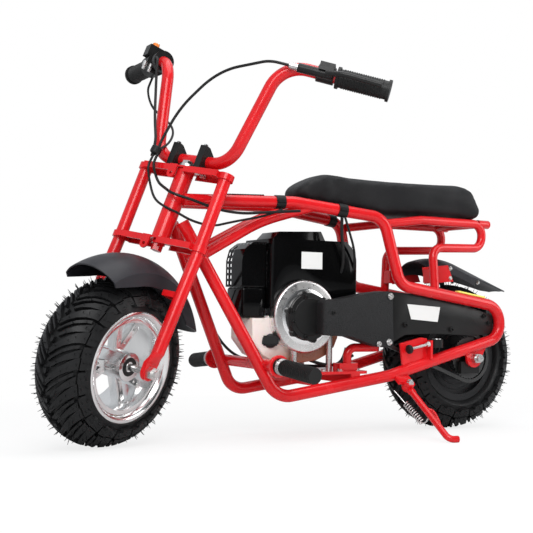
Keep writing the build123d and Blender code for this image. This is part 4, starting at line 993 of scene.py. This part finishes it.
# Domed ring of the clutch housing and the lobed flange of the bell
dome = lathe([(38, 66.5), (42, 66.4), (47, 64.5), (52, 60.5), (56, 55), (58.5, 49), (59.3, 42)], 96)
piece("clutch_dome", dome, POLISHED, "frame", "engine_alloy", ENGINE)
flange = lathe([(59, 0), (59, 41.5), (60.5, 43), (66, 43), (67.5, 41.5), (67.5, 38), (71, 35), (73, 33),
                (73, 0)], 72)
LOBE_CIRCLE = 42
lobes = [along(lathe([(59, 0), (59, 6), (68, 6), (69, 5), (69, 0)], 20),
               (LOBE_CIRCLE * cos(radians(a)), 0, LOBE_CIRCLE * sin(radians(a))), Y_OUT)
         for a in (15, 75, 135, -45, -105, -165)]
piece("bell_flange", joined(flange, *lobes), BLACK_CASTING, "frame", "black_steel", ENGINE)

# Side stand: return spring, its hooks, and the foot loop welded to the leg
SPRING_TOP, SPRING_COIL = Vector((205, 100, -56)), Vector((193.7, 118, -77.5))
SPRING_END, SPRING_HOOK = Vector((179.3, 150, -110)), Vector((178.5, 166, -101))
spring = joined(tube_mesh([SPRING_TOP, SPRING_TOP.lerp(SPRING_COIL, 0.5), SPRING_COIL], 1.3, 6),
                tube_mesh(coil_points(SPRING_COIL, SPRING_END, 5.2, 10), 1.3, 4),
                tube_mesh([SPRING_END, Vector((178.5, 160, -112)), SPRING_HOOK], 1.3, 6))
stand_spring = piece("stand_spring", spring, ZINC, None, "bright_steel", MACHINE)
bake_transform(stand_spring)
LOOP = [(177.5, 146, -83), (158, 146, -88), (150, 148, -92), (151, 162, -106), (158, 176, -114),
        (178.2, 182, -110)]
piece("stand_loop", tube_mesh(LOOP, 2.6, 8), RED, "stand", "frame_red", MACHINE)


# Camera, floor and light
CAMERA_AT = Vector((1324.79, 1588.44, 102.79))
CAMERA_RIGHT, CAMERA_UP = Vector((-0.86935, 0.49393, 0.01624)), Vector((0.03266, 0.02465, 0.99916))
FOCAL_PX, PICTURE_PX, AXIS_DROP_PX = 996.85, 533.0, -1.55

camera_data = bpy.data.cameras.new("camera")
camera_data.sensor_width = 36.0
camera_data.lens = 36.0 * FOCAL_PX / PICTURE_PX
camera_data.shift_y = AXIS_DROP_PX / PICTURE_PX
camera = bpy.data.objects.new("camera", camera_data)
camera_back = CAMERA_RIGHT.cross(CAMERA_UP)
camera.matrix_world = MACHINE @ axes(CAMERA_RIGHT, CAMERA_UP, camera_back, CAMERA_AT * 0.001)
bpy.context.scene.collection.objects.link(camera)
bpy.context.scene.camera = camera


# The floor takes the shadow near the machine and is plain white further away, in metres from its middle.
# A camera ray sees mostly white, and a mirror sees a greyer floor.
FLOOR_COLOUR, MIRRORED_FLOOR = (0.93, 0.93, 0.93), (0.62, 0.62, 0.62)
FLOOR_HALF, SHADOW_REACH, SHADOW_END, WHITE_SHARE = 6, 0.6, 1.3, 0.8


def floor_finish():
    f = Finish("floor_white")
    path = f.tree.nodes.new("ShaderNodeLightPath")
    camera_ray, transmission, glossy_ray = [
        Wire(f, path.outputs[label]) for label in ("Is Camera Ray", "Is Transmission Ray", "Is Glossy Ray")]
    seen = f.node("ShaderNodeMath", {"operation": "MAXIMUM"}, {0: camera_ray, 1: transmission})
    far = f.node("ShaderNodeVectorMath", {"operation": "LENGTH"}, {0: f.place()}, output=1)
    share = far.spread(SHADOW_REACH, SHADOW_END, WHITE_SHARE, 1.0)
    white = {"Color": FLOOR_COLOUR, "Strength": 1.0 / FLOOR_COLOUR[0]}
    glow = f.node("ShaderNodeEmission", None, white)
    plain = f.node("ShaderNodeBsdfDiffuse", None,
                   {"Color": f.blend(glossy_ray, FLOOR_COLOUR, MIRRORED_FLOOR)})
    f.node_output(f.node("ShaderNodeMixShader", None, {0: seen * share, 1: plain, 2: glow}))
    return f.material


def floor():
    bm = bmesh.new()
    for x, y in ((-1, -1), (1, -1), (1, 1), (-1, 1)):
        bm.verts.new((x * FLOOR_HALF, y * FLOOR_HALF, 0))
    bm.faces.new(bm.verts)
    mesh = from_bmesh(bm, False)
    obj = bpy.data.objects.new("floor", mesh)
    mesh.materials.append(floor_finish())
    bpy.context.scene.collection.objects.link(obj)


floor()
# Flat sides that face the camera mirror this part of the surroundings, which is kept dim
DIM_SIDE, MIRRORED_SKY, DIFFUSE_SKY = (-0.62, 0.78, 0.0), 0.64, 0.5
world = bpy.data.worlds.new("studio")
bpy.context.scene.world = world
world.use_nodes = True
sky = world.node_tree
sky.nodes.clear()
path = sky.nodes.new("ShaderNodeLightPath")
seen = sky.nodes.new("ShaderNodeMath")
seen.operation = "MAXIMUM"
sky.links.new(path.outputs["Is Camera Ray"], seen.inputs[0])
sky.links.new(path.outputs["Is Transmission Ray"], seen.inputs[1])
white, dim, choice, out = [sky.nodes.new(kind) for kind in (
    "ShaderNodeBackground", "ShaderNodeBackground", "ShaderNodeMixShader", "ShaderNodeOutputWorld")]
white.inputs["Color"].default_value = (1, 1, 1, 1)
white.inputs["Strength"].default_value = 1.0
dim.inputs["Color"].default_value = (0.93, 0.96, 1.0, 1)
way = sky.nodes.new("ShaderNodeTexCoord")
facing = sky.nodes.new("ShaderNodeVectorMath")
facing.operation = "DOT_PRODUCT"
facing.inputs[1].default_value = DIM_SIDE
mirrored = sky.nodes.new("ShaderNodeMapRange")
for socket, value in (("From Min", 0.45), ("From Max", 0.9), ("To Min", MIRRORED_SKY), ("To Max", 0.05)):
    mirrored.inputs[socket].default_value = value
level = sky.nodes.new("ShaderNodeMix")
level.inputs["A"].default_value = DIFFUSE_SKY
sky.links.new(way.outputs["Generated"], facing.inputs[0])
sky.links.new(facing.outputs["Value"], mirrored.inputs["Value"])
sky.links.new(path.outputs["Is Glossy Ray"], level.inputs["Factor"])
sky.links.new(mirrored.outputs[0], level.inputs["B"])
sky.links.new(level.outputs["Result"], dim.inputs["Strength"])
sky.links.new(seen.outputs[0], choice.inputs[0])
sky.links.new(dim.outputs[0], choice.inputs[1])
sky.links.new(white.outputs[0], choice.inputs[2])
sky.links.new(choice.outputs[0], out.inputs["Surface"])

# Area lamps: place, what they point at, width in metres, power in watts
for name, spot, aim, size, power in (
        ("key", (1.2, 1.9, 1.7), (0.1, 0, 0.35), 1.4, 40.0),
        ("top", (-0.1, 0.3, 2.3), (0, 0, 0.3), 1.8, 22.0),
        ("back", (-1.9, 1.3, 1.0), (-0.2, 0, 0.3), 1.2, 16.0)):
    lamp = bpy.data.lights.new(name, "AREA")
    lamp.size = size
    lamp.energy = power
    lamp_at = bpy.data.objects.new(name, lamp)
    lamp_at.location = spot
    lamp_at.rotation_euler = (Vector(aim) - Vector(spot)).to_track_quat("-Z", "Y").to_euler()
    bpy.context.scene.collection.objects.link(lamp_at)

bpy.context.scene.view_settings.view_transform = "Standard"
